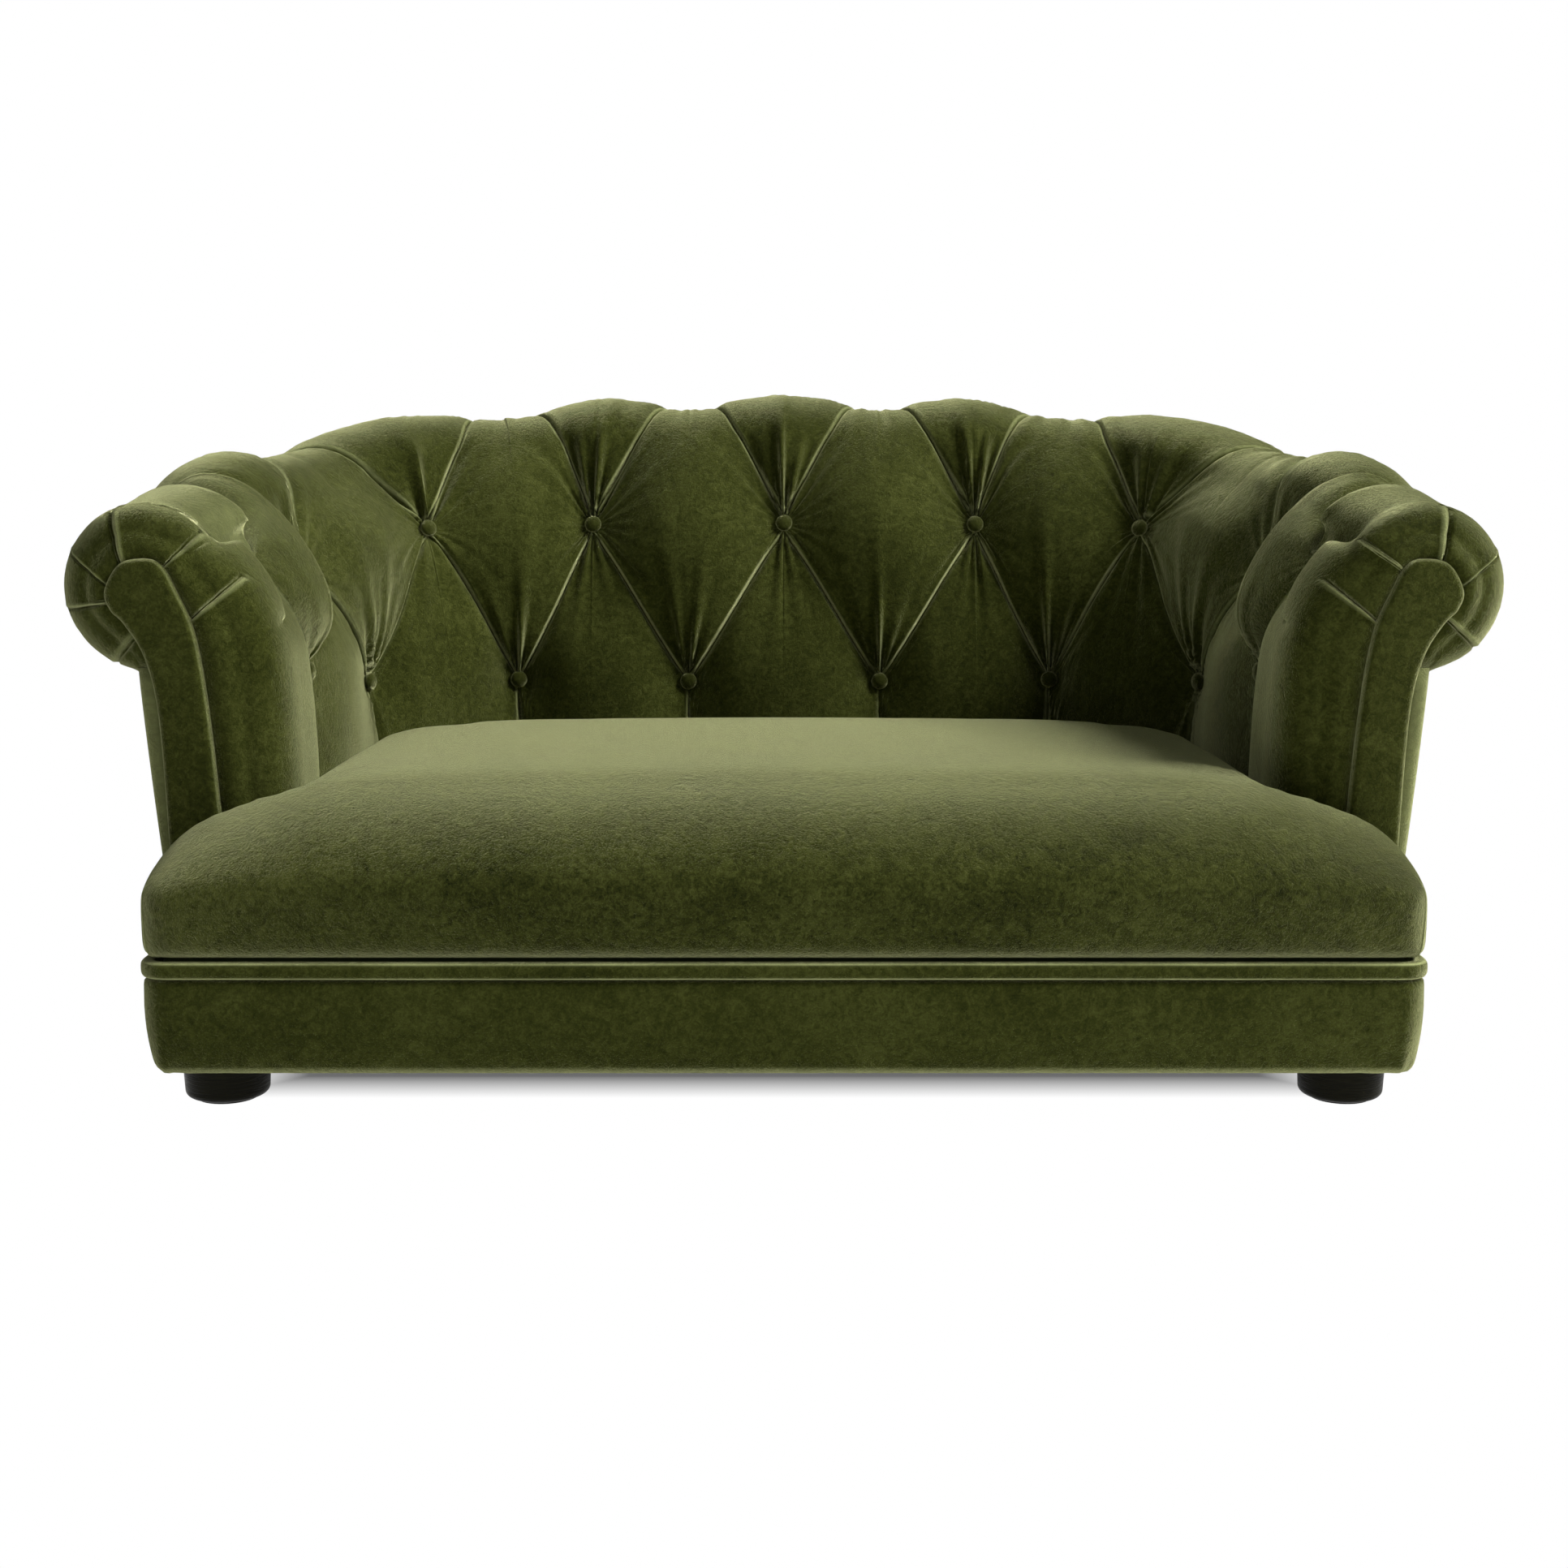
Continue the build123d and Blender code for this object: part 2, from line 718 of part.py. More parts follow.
def base_border():
    """The padded band round the base, drawn in towards its lower edge."""
    height = border_top - border_bottom
    levels = []
    for up, draw in zip(border_height_shares, border_draw_shares):
        sheet = base_outline(draw * border_draw_depth)
        levels.append(Location((0, 0, border_bottom + up * height)) * sheet)
    band = loft(levels, ruled=True)
    low, high = border_bottom - cut_overrun_length, border_top + cut_overrun_length
    return band - raised(base_outline(border_thickness), low, high)


def base_welt():
    """The thick round welt that lies on the border all the way round."""
    height = border_top + seat_gap + welt_diameter / 2
    path = (Location((0, 0, height)) * base_outline(welt_centre_inset)).wires()[0]
    start = path @ 0
    ring = Plane(origin=start, z_dir=path % 0) * Circle(welt_diameter / 2)
    return sweep(ring, path=path)


def dust_cover():
    cover = raised(base_outline(rail_outer_inset), foot_height - dust_cover_thickness, foot_height)
    for place in foot_places.values():
        cover -= Location((*place, 0)) * Cylinder(
            foot_diameter / 2 + seat_gap, foot_height + cut_overrun_length, align=upright
        )
    return cover


# Seat cushion: a wide crowned front with ears before the arms, and a body between the arms
def cushion_section(y, half_width, edge, shoulder, shoulder_run, crown, bottom):
    """Closed outline across the cushion: flat bottom, low sides, round shoulders and a crown."""
    round_part = edge + (shoulder - edge) * shoulder_round_share
    inner = half_width - shoulder_run
    middle = half_width - shoulder_run * shoulder_place_share

    def at(x, height):
        return Vector(x, y, height)

    return Wire([
        Edge.make_line(at(-half_width, bottom), at(half_width, bottom)),
        Edge.make_line(at(half_width, bottom), at(half_width, edge)),
        bowed(at(half_width, edge), at(middle, round_part), at(inner, shoulder)),
        bowed(at(inner, shoulder), at(0, crown), at(-inner, shoulder)),
        bowed(at(-inner, shoulder), at(-middle, round_part), at(-half_width, edge)),
        Edge.make_line(at(-half_width, edge), at(-half_width, bottom)),
    ])


cushion_ear_depth = arm_front_inset - facing_thickness - cushion_ear_gap


def front_rise(y):
    """Share of the crown's rise over the front edge that the cushion has reached at a depth."""
    place = (y - front_y) / cushion_ear_depth
    if place >= 1:
        return 1.0
    index = 0
    while place > front_place_shares[index + 1]:
        index += 1
    low, high = front_place_shares[index], front_place_shares[index + 1]
    return mix(front_rise_shares[index], front_rise_shares[index + 1], (place - low) / (high - low))


def cushion_front(skin):
    """The front of the cushion with its two ears; skin shrinks it on all sides."""
    bottom = deck_pad_top + seat_gap + skin
    depth = cushion_ear_depth - 2 * skin
    edge = bottom + cushion_edge_height - 2 * skin
    crown = bottom + cushion_crown_height - 2 * skin
    wires = []
    for place, rise, corner in zip(front_place_shares, front_rise_shares, front_corner_shares):
        half_width = half_base - skin - corner * front_corner_radius
        top = mix(edge, crown, rise)
        shoulder = mix(edge, top, shoulder_height_share)
        y = front_y + skin + place * depth
        wires.append(cushion_section(y, half_width, edge, shoulder, cushion_shoulder_width, top, bottom))
    return lofted(wires)


def cushion_rear(skin):
    """The body of the cushion between the arms, with round rear corners."""
    bottom = deck_pad_top + seat_gap + skin
    low = bottom + cushion_edge_height - 2 * skin
    crown = bottom + cushion_crown_height - 2 * skin
    fall = cushion_crown_height - cushion_rear_height
    half_width = half_tub - cushion_side_gap - skin
    radius = tub_corner_radius - cushion_side_gap
    rear = back_y - cushion_rear_gap - skin
    start = front_y + cushion_ear_depth * rear_start_share
    wires = []

    def section(y, width):
        near = min(max((rear - y) / cushion_rear_length, 0), 1)
        top = mix(low, crown, front_rise(y)) - fall * (1 - near) ** 2
        edge = top - cushion_side_radius
        shoulder = mix(edge, top, shoulder_height_share)
        wires.append(cushion_section(y, width, edge, shoulder, cushion_side_width, top, bottom))

    section(start, half_width)
    side_start = front_y + cushion_ear_depth
    for place, draw in zip(side_place_shares, side_draw_shares):
        section(mix(side_start, rear - radius, place), half_width - draw * cushion_draw_depth)
    for turn in corner_turns[1:]:
        angle = math.radians(turn)
        section(rear - radius + radius * math.sin(angle), half_width - radius + radius * math.cos(angle))
    return lofted(wires)


def cushion_body(skin):
    return cushion_front(skin) + cushion_rear(skin)


def build():
    os.makedirs("parts", exist_ok=True)
    whole_back = -join_column, join_column
    save(back_pad(), "back_pad")
    save(buttons(back_spots), "back_buttons")
    save(back_strip(top_rail_corners, column_steps(*whole_back)), "back_top_rail")
    save(back_strip(liner_corners, column_steps(*whole_back)), "back_liner")
    save(back_strip(outside_corners, fine_steps(*whole_back)), "outside_back")
    save([support(column, rib_thickness) for column in rib_columns], "tub_ribs")
    behind_front = front_pad_thickness + seat_gap
    for side, word in ((-1, "left"), (1, "right")):
        arm = join_column, front_column
        save(arm_pad(side), word + "_arm_pad")
        save(buttons(arm_spots[side]), word + "_arm_buttons")
        save(arm_facing(side), word + "_arm_facing")
        save(arm_stump(side), word + "_arm_stump")
        save(arm_strip(side, top_rail_corners, column_steps(*arm), behind_front), word + "_top_rail")
        save(arm_strip(side, liner_corners, column_steps(*arm), behind_front), word + "_arm_liner")
        save(arm_strip(side, outside_corners, fine_steps(*arm), behind_front), word + "_outside_arm")
    for name, rail in rail_pieces().items():
        save(rail, name)
    save(cross_bearers(), "cross_bearers")
    save([corner_block(place) for place in foot_places.values()], "corner_blocks")
    save([insert_nut(place) for place in foot_places.values()], "foot_insert_nuts")
    save([foot_bolt(place) for place in foot_places.values()], "foot_bolts")
    save([foot_glide(place) for place in foot_places.values()], "foot_glides")
    for name, place in foot_places.items():
        save(foot(place), name + "_foot")
    save(raised(base_outline(rail_outer_inset), rail_top, deck_top), "deck_panel")
    save(deck_pad(), "deck_pad")
    save(base_border(), "base_border")
    save(base_welt(), "base_welt")
    save(dust_cover(), "dust_cover")
    save(cushion_body(0) - cushion_body(cover_thickness), "seat_cushion_cover")
    save(cushion_body(cover_thickness + seat_gap), "seat_cushion_foam")


build()
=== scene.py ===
import math
import random

import bmesh
import bpy
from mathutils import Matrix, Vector
from mathutils.bvhtree import BVHTree


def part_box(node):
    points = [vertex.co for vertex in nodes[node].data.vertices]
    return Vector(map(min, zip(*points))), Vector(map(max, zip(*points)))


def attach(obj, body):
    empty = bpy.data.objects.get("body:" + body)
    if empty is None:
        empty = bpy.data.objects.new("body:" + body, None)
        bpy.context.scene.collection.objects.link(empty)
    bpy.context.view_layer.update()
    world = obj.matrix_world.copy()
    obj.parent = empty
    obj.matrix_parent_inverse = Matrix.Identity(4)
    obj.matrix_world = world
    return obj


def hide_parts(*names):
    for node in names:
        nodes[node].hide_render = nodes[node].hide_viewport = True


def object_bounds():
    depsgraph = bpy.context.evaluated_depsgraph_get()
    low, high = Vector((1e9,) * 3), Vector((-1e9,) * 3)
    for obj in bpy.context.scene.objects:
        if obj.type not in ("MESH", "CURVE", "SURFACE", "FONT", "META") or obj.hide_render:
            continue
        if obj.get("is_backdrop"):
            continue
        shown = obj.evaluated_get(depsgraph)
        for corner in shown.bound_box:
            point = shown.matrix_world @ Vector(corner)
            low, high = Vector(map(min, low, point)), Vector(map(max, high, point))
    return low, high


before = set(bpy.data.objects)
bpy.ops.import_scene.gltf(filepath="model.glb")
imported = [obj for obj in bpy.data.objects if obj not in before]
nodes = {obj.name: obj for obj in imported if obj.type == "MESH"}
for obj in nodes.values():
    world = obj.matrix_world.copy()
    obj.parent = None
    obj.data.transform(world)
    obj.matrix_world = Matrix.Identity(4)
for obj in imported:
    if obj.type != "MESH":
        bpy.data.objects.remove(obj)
cad_low, cad_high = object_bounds()
random.seed(7)


# The studio: a pale floor in a white room, a large soft lamp high on the right, a weaker one on
# the left, a strip behind that catches the pile, and the photograph's camera, which stands low
# before the middle of the sofa and looks a little down.
border_low, border_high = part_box("base_border")
camera_distance, camera_height, camera_tilt, camera_lens = 1.452, 0.460, 0.1544, 49.47
half_floor, floor_colour = 6.0, (0.86, 0.86, 0.85)
shadow_share, shadow_inset, shadow_fade, room_level = 0.86, 0.095, 0.055, 0.10
lamps = {
    "key_lamp": ((3.6, -0.50, 3.40), (0.0, -0.05, 0.25), 2.0, 600),
    "fill_lamp": ((-1.2, -2.4, 1.5), (0.0, 0.0, 0.25), 1.6, 6),
    "top_lamp": ((0.5, 1.1, 1.9), (0.0, 0.0, 0.30), 1.1, 13),
}


def linked(thing):
    bpy.context.scene.collection.objects.link(thing)
    return thing


camera = linked(bpy.data.objects.new("camera", bpy.data.cameras.new("camera")))
camera.data.sensor_width, camera.data.lens = 36.0, camera_lens
camera.location = (0, border_low.y - camera_distance, camera_height)
camera.rotation_euler = (math.pi / 2 - camera_tilt, 0, 0)
bpy.context.scene.camera = camera
bpy.context.scene.view_settings.view_transform = "Standard"

for name, (place, target, size, power) in lamps.items():
    light = bpy.data.lights.new(name, "AREA")
    light.shape, light.size, light.energy = "SQUARE", size, power
    lamp = linked(bpy.data.objects.new(name, light))
    lamp.location = place
    lamp.rotation_euler = (Vector(target) - Vector(place)).to_track_quat("-Z", "Y").to_euler()


class Shade:
    """A value on its way through a material: arithmetic on it adds the Math nodes."""

    def __init__(self, tree, socket=None):
        self.tree, self.socket = tree, socket

    def node(self, kind, settings, inputs, output=0):
        """Add a node: its settings first, then the values or links of its sockets."""
        made = self.tree.nodes.new("ShaderNode" + kind)
        for key, value in settings.items():
            if key == "stops":
                ramp = made.color_ramp
                while len(ramp.elements) < len(value):
                    ramp.elements.new(0.5)
                for element, (place, colour) in zip(ramp.elements, value):
                    element.position, element.color = place, (*colour, 1.0)
            else:
                setattr(made, key, value)
        for key, value in inputs.items():
            if isinstance(value, Shade):
                self.tree.links.new(value.socket, made.inputs[key])
            else:
                made.inputs[key].default_value = value
        return Shade(self.tree, made.outputs[output])

    def math(self, operation, *values):
        return self.node("Math", {"operation": operation}, dict(enumerate(values)))

    def __add__(self, other):
        return self.math("ADD", self, other)

    def __sub__(self, other):
        return self.math("SUBTRACT", self, other)

    def __rsub__(self, other):
        return self.math("SUBTRACT", other, self)

    def __mul__(self, other):
        return self.math("MULTIPLY", self, other)

    __radd__, __rmul__ = __add__, __mul__

    def within(self, low, high):
        """0 below low, 1 above high, straight between."""
        return self.node("MapRange", {"clamp": True}, {"Value": self, "From Min": low, "From Max": high})

    def mixed(self, first, second):
        """A colour between two colours; this value is the share of the second."""
        colours = {6: first, 7: second}
        for key, colour in colours.items():
            if not isinstance(colour, Shade):
                colours[key] = (*colour, 1.0)
        return self.node("Mix", {"data_type": "RGBA"}, {0: self, **colours}, 2)

    def place(self):
        return self.node("TexCoord", {}, {}, "Object")

    def noise(self, place, scale, detail=3.0, twist=0.0, rough=0.5):
        sockets = {"Vector": place, "Scale": scale, "Detail": detail, "Roughness": rough, "Distortion": twist}
        return self.node("TexNoise", {}, sockets)

    def stretched(self, place, x, y, z):
        return self.node("VectorMath", {"operation": "MULTIPLY"}, {0: place, 1: (x, y, z)})

    def mark(self, name):
        """A value that the mesh carries at its points."""
        return self.node("Attribute", {"attribute_name": name}, {}, "Fac")

    def bump(self, height, depth):
        return self.node("Bump", {}, {"Height": height, "Distance": depth, "Strength": 1.0}, "Normal")


def finish(name, recipe, **fixed):
    """A material: recipe gives what varies over the surface, fixed what doesn't."""
    material = bpy.data.materials.new(name)
    material.use_nodes = True
    tree = material.node_tree
    surface = tree.nodes["Principled BSDF"]
    for key, value in fixed.items():
        surface.inputs[key.replace("_", " ")].default_value = value
    for key, value in recipe(Shade(tree)).items():
        tree.links.new(value.socket, surface.inputs[key])
    return material


def studio_floor():
    """Lit by the lamps under the object, and plain white to the camera away from it."""
    material = finish(
        "studio_floor", lambda shade: {}, Base_Color=(*floor_colour, 1), Roughness=0.9, Specular_IOR_Level=0.0)
    tree = material.node_tree
    start = Shade(tree)
    seen, glossy, through = (
        start.node("LightPath", {}, {}, ray) for ray in ("Is Camera Ray", "Is Glossy Ray", "Is Transmission Ray"))
    rays = start.math("MAXIMUM", seen, start.math("MAXIMUM", glossy, through))
    across, along = (start.node("SeparateXYZ", {}, {"Vector": start.place()}, axis) for axis in "XY")
    middle, half = (border_low + border_high) / 2, (border_high - border_low) / 2
    beside = start.math("ABSOLUTE", across - middle.x) - (half.x - shadow_inset)
    before = start.math("ABSOLUTE", along - middle.y) - (half.y - shadow_inset)
    clear = start.math("MAXIMUM", beside, before).within(0.0, shadow_fade)
    white = rays * (clear * shadow_share + (1 - shadow_share))
    lit = Shade(tree, tree.nodes["Principled BSDF"].outputs[0])
    glow = start.node("Emission", {}, {"Color": (1, 1, 1, 1), "Strength": 1.0})
    both = start.node("MixShader", {}, {0: white, 1: lit, 2: glow})
    tree.links.new(both.socket, tree.nodes["Material Output"].inputs["Surface"])
    return material


def mesh_piece(name, points, faces, material):
    mesh = bpy.data.meshes.new(name)
    mesh.from_pydata([tuple(point) for point in points], [], faces)
    mesh.validate()
    mesh.shade_smooth()
    mesh.materials.append(material)
    return linked(bpy.data.objects.new(name, mesh))


floor_corners = ((-1, -1), (1, -1), (1, 1), (-1, 1))
floor_points = [(x * half_floor, y * half_floor, 0) for x, y in floor_corners]
floor = mesh_piece("floor", floor_points, [(0, 1, 2, 3)], studio_floor())
floor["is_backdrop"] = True
world = bpy.data.worlds.new("room")
bpy.context.scene.world = world
world.use_nodes = True
room = Shade(world.node_tree)
room_seen = room.node("LightPath", {}, {}, "Is Camera Ray")
room_glossy = room.node("LightPath", {}, {}, "Is Glossy Ray")
room_white = room.math("MAXIMUM", room_seen, room_glossy) * (1 - room_level) + room_level
world.node_tree.links.new(room_white.socket, world.node_tree.nodes["Background"].inputs["Strength"])
world.node_tree.nodes["Background"].inputs["Color"].default_value = (1, 1, 1, 1)


# Base frame, deck, stumps, ribs and rails: pine and plywood, sawn, glued and stapled together.
# They stay as the model has them, in raw wood with its grain running along X or up.
def raw_wood(shade):
    place = shade.place()
    rings = shade.noise(shade.stretched(place, 4, 60, 60), 3.0, 5.0, 1.2)
    pores = shade.noise(shade.stretched(place, 30, 400, 400), 2.0, 2.0)
    grain = (rings * 0.7 + pores * 0.3).within(0.3, 0.72)
    colour = grain.mixed((0.30, 0.17, 0.075), (0.56, 0.39, 0.21))
    return {"Base Color": colour, "Roughness": grain * 0.2 + 0.55, "Normal": shade.bump(grain, 0.0006)}


wood = finish("raw_wood", raw_wood)
wooden = (
    "front_rail", "rear_rail", "left_side_rail", "right_side_rail", "left_corner_rail", "right_corner_rail",
    "cross_bearers", "corner_blocks", "deck_panel", "tub_ribs", "back_top_rail", "left_top_rail",
    "right_top_rail", "back_liner", "left_arm_liner", "right_arm_liner", "left_arm_stump", "right_arm_stump",
)


def refinish(names, material):
    for name in names:
        mesh = nodes[name].data
        mesh.materials.clear()
        mesh.materials.append(material)


refinish(wooden, wood)


# Feet: turned hardwood blocks, stained nearly black and sealed with a satin lacquer. Each is
# screwed up into its corner block by a zinc-plated bolt and stands on a felt glide.
def dark_stain(shade):
    place = shade.place()
    grain = shade.noise(shade.stretched(place, 25, 25, 260), 3.0, 4.0, 0.6).within(0.35, 0.7)
    wear = shade.noise(place, 130.0, 4.0, 0.5).within(0.6, 0.85)
    colour = (wear * 0.4).mixed((0.0040, 0.0038, 0.0010), (0.018, 0.016, 0.006))
    return {
        "Base Color": (grain * 0.5).mixed(colour, (0.011, 0.010, 0.0032)),
        "Roughness": grain * 0.12 + 0.30 + wear * 0.1,
        "Normal": shade.bump(grain, 0.00025),
    }


def zinc(shade):
    spangle = shade.noise(shade.place(), 500.0, 2.0).within(0.3, 0.7)
    return {"Base Color": spangle.mixed((0.42, 0.43, 0.44), (0.62, 0.62, 0.60)), "Roughness": spangle * 0.2 + 0.3}


def felt(shade):
    fibre = shade.noise(shade.place(), 900.0, 4.0, 1.5)
    return {"Base Color": fibre.mixed((0.02, 0.018, 0.015), (0.10, 0.09, 0.08)), "Normal": shade.bump(fibre, 0.0008)}


feet = ("front_left_foot", "front_right_foot", "rear_left_foot", "rear_right_foot")
refinish(feet, finish("dark_stain", dark_stain, Coat_Weight=0.02, Coat_Roughness=0.3, Specular_IOR_Level=0.05))
refinish(("foot_bolts", "foot_insert_nuts"), finish("zinc_plate", zinc, Metallic=1.0))
refinish(("foot_glides",), finish("pressed_felt", felt, Roughness=0.95, Sheen_Weight=0.4))


# Plan of the base: nearly square front corners and large rear ones, as the tub needs. The dust
# cover is a black non-woven cloth, cut to that plan with a hole for each foot and stapled up.
base_front, base_rear = border_low.y, border_high.y
half_base = border_high.x
front_corner, rear_corner = 0.018, 0.243
least_corner = 0.003


def base_plan(inset, spacing=0.006):
    """Points round the base, counter-clockwise from the middle of the front, drawn in by an inset."""
    low, high, half = base_front + inset, base_rear - inset, half_base - inset
    front, rear = max(front_corner - inset, least_corner), rear_corner - inset
    middle = Vector((0, low))
    points, here = [], middle

    def straight(start, end):
        count = max(int((end - start).length / spacing), 1)
        points.extend(start.lerp(end, index / count) for index in range(count))

    corners = ((half - front, low + front, front), (half - rear, high - rear, rear),
               (rear - half, high - rear, rear), (front - half, low + front, front))
    for quarter, (x, y, radius) in enumerate(corners, -1):
        count = max(int(radius * math.pi / 2 / spacing), 8)
        angles = [(quarter + index / count) * math.pi / 2 for index in range(count + 1)]
        arc = [Vector((x + radius * math.cos(angle), y + radius * math.sin(angle))) for angle in angles]
        straight(here, arc[0])
        points.extend(arc[:-1])
        here = arc[-1]
    straight(here, middle)
    return points


def walked(plan):
    """Each point of a closed plan with the direction outwards there and the way gone so far."""
    run = 0.0
    for index, point in enumerate(plan):
        ahead = plan[(index + 1) % len(plan)] - plan[index - 1]
        run += (point - plan[index - 1]).length if index else 0.0
        yield point, Vector((ahead.y, -ahead.x)).normalized(), run


def around(count, across, loop=False, closed=True):
    """Faces between count stations of across points; loop joins the last station to the first,
    closed the last point of each to its first."""
    return [
        (at * across + point, (at + 1) % count * across + point,
         (at + 1) % count * across + (point + 1) % across, at * across + (point + 1) % across)
        for at in range(count if loop else count - 1)
        for point in range(across if closed else across - 1)
    ]


def tube(count, across):
    """The same with the two ends closed."""
    last = range((count - 1) * across, count * across)
    return around(count, across) + [tuple(range(across)), tuple(reversed(last))]


def dust_cloth(shade):
    dots = shade.node("TexVoronoi", {}, {"Vector": shade.place(), "Scale": 420.0}).within(0.1, 0.5)
    fibre = shade.noise(shade.place(), 700.0, 4.0, 1.0)
    return {
        "Base Color": (fibre * 0.6 + dots * 0.4).mixed((0.006, 0.006, 0.006), (0.035, 0.035, 0.033)),
        "Normal": shade.bump(dots, 0.0004),
    }


def thickened(piece, thickness, offset):
    """Give a sheet its thickness: with offset -1 behind its face, with 0 to both sides."""
    solid = piece.modifiers.new("thickness", "SOLIDIFY")
    solid.thickness, solid.offset = thickness, offset
    return piece


def filled_plan(name, rings, material, thickness):
    """A flat sheet with the given outer ring and holes."""
    sheet = bmesh.new()
    for ring in rings:
        corners = [sheet.verts.new(point) for point in ring]
        for index, corner in enumerate(corners):
            sheet.edges.new((corners[index - 1], corner))
    bmesh.ops.triangle_fill(sheet, use_beauty=True, edges=sheet.edges[:])
    bmesh.ops.recalc_face_normals(sheet, faces=sheet.faces[:])
    mesh = bpy.data.meshes.new(name)
    sheet.to_mesh(mesh)
    sheet.free()
    mesh.materials.append(material)
    return thickened(linked(bpy.data.objects.new(name, mesh)), thickness, 0.0)


cloth_inset, cloth_thickness, foot_clear, hole_steps = 0.0138, 0.001, 0.0005, 48
cloth_low, cloth_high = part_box("dust_cover")
cloth_height = cloth_low.z + cloth_thickness / 2
hole_turns = [2 * math.pi * step / hole_steps for step in range(hole_steps)]
rings = [[(*point, cloth_height) for point in base_plan(cloth_inset, 0.012)]]
for foot in feet:
    low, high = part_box(foot)
    (x, y, _), radius = (low + high) / 2, (high.x - low.x) / 2 + foot_clear
    rings.append([(x + radius * math.cos(turn), y + radius * math.sin(turn), cloth_height) for turn in hole_turns])
cloth = finish("dust_cloth", dust_cloth, Roughness=0.95)
dust_cover = filled_plan("dust_cover_cloth", rings, cloth, cloth_thickness)
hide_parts("dust_cover")
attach(dust_cover, "sofa")


# Velvet: a moss green cut pile. It is darkest where one looks straight down the pile and pale at
# the edges, brushed this way and that in marks a few millimetres long, and painted paler along
# lips, folds, edges and seams: painted highlights that each piece carries as a mark.
velvet_tones = (0.0095, 0.0115, 0.0016), (0.032, 0.0375, 0.0062), (0.083, 0.093, 0.022)
# the pale pile of the painted highlights
highlight_pile = (0.36, 0.39, 0.17)


def velvet_finish(name, lift=1.0, mark_strength=1.5, relief_depth=0.0024, pile_spread=0.205):
    deep, body, brushed = (tuple(part * lift for part in tone) for tone in velvet_tones)

    def cut_pile(shade):
        place = shade.place()
        clouds = shade.noise(place, 9.0, 3.0, 0.6)
        strokes = shade.noise(place, 105.0, 6.0, 1.4, 0.65)
        marks = shade.noise(place, 420.0, 4.0, 1.2, 0.6)
        pile = shade.noise(place, 2400.0, 2.0)
        lie = (clouds * 0.22 + strokes * 0.40 + marks * 0.38 - 0.5) * mark_strength + 0.5
        colour = shade.node("ValToRGB", {"stops": ((0.22, deep), (0.47, body), (0.80, brushed))}, {"Fac": lie})
        return {
            # painted highlights: where a piece's mark is set, the pale pile is mixed in
            "Base Color": (shade.mark("fold") * (strokes * 0.7 + 0.55)).mixed(colour, highlight_pile),
            "Roughness": strokes * 0.25 + 0.62,
            "Normal": shade.bump(strokes * 0.35 + marks * 0.35 + pile * 0.3, relief_depth),
        }

    return finish(name, cut_pile, Sheen_Weight=1.0, Sheen_Roughness=pile_spread,
                  Sheen_Tint=(0.98, 1.0, 0.52, 1.0), Specular_IOR_Level=0.02)


velvet = velvet_finish("moss_velvet", 0.90)
seat_velvet = velvet_finish("brushed_seat_velvet", 1.0, 2.2, 0.0046, 0.175)


def marked(piece, highlights):
    """Give a piece its share of painted highlight (pale pile) at each point, for its material."""
    piece.data.attributes.new("fold", "FLOAT", "POINT").data.foreach_set("value", highlights)
    return piece


# Base border: a strip of velvet over 12 mm of wadding, pulled down over the rails and stapled
# under them, so its lower edge is drawn in and puckers a little at the corners.
border_draw, border_drop = 0.010, 0.003
border_profile = (
    # share of the draw-in, share of the height, how far behind the face
    (0.05, 1.000, 0.0130), (0.05, 1.000, 0.0060), (0.04, 0.992, 0.0022), (0.0, 0.965, 0.0004), (0.0, 0.92, 0.0),
    (0.0, 0.82, 0.0), (0.0, 0.70, 0.0), (0.04, 0.58, 0.0), (0.10, 0.46, 0.0), (0.20, 0.34, 0.0), (0.31, 0.24, 0.0),
    (0.42, 0.16, 0.0), (0.54, 0.10, 0.0), (0.68, 0.055, 0.0003), (0.84, 0.018, 0.0014), (1.0, 0.0, 0.0038),
    (1.0, 0.006, 0.0062), (0.5, 0.03, 0.0132),
)


def border_band():
    plan = base_plan(0.0)
    height = border_high.z - border_low.z
    points, highlights = [], []
    for spot, out, run in walked(plan):
        cornered = min(math.hypot(abs(spot.x) - half_base, spot.y - base_front) / 0.06, 1.0)
        for draw, up, behind in border_profile:
            ripple = math.sin(run * 330) + 0.6 * math.sin(run * 173 + 1.3)
            pucker = 0.0007 * (1 - up) ** 3 * (0.25 + 1.4 * (1 - cornered)) * ripple
            wave = 0.0006 * math.sin(run * 21 + 2 * up) * math.sin(math.pi * up)
            inset = draw * border_draw + behind + pucker + max(wave, -0.0006) + 0.0003
            points.append((*(spot - out * inset), border_low.z - border_drop * (1 - up) + up * height))
            # painted highlight: a pale line along the rounded lower edge
            highlights.append(0.32 if 0.01 < up < 0.06 and behind < 0.002 else 0.0)
    faces = around(len(plan), len(border_profile), loop=True)
    return marked(mesh_piece("border_band", points, faces, velvet), highlights)


border = border_band()
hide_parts("base_border")
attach(border, "sofa")


# Welt: a thick cord in a bias strip of the same velvet, laid all the way round on top of the
# border and sewn down, so that its upper and lower edges stand up a little and catch the light;
# pale lines of painted highlight run along them.
welt_low, welt_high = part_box("base_welt")
welt_height, welt_middle = welt_high.z - welt_low.z, (welt_low.z + welt_high.z) / 2
welt_inset, welt_steps = 0.0040, 28


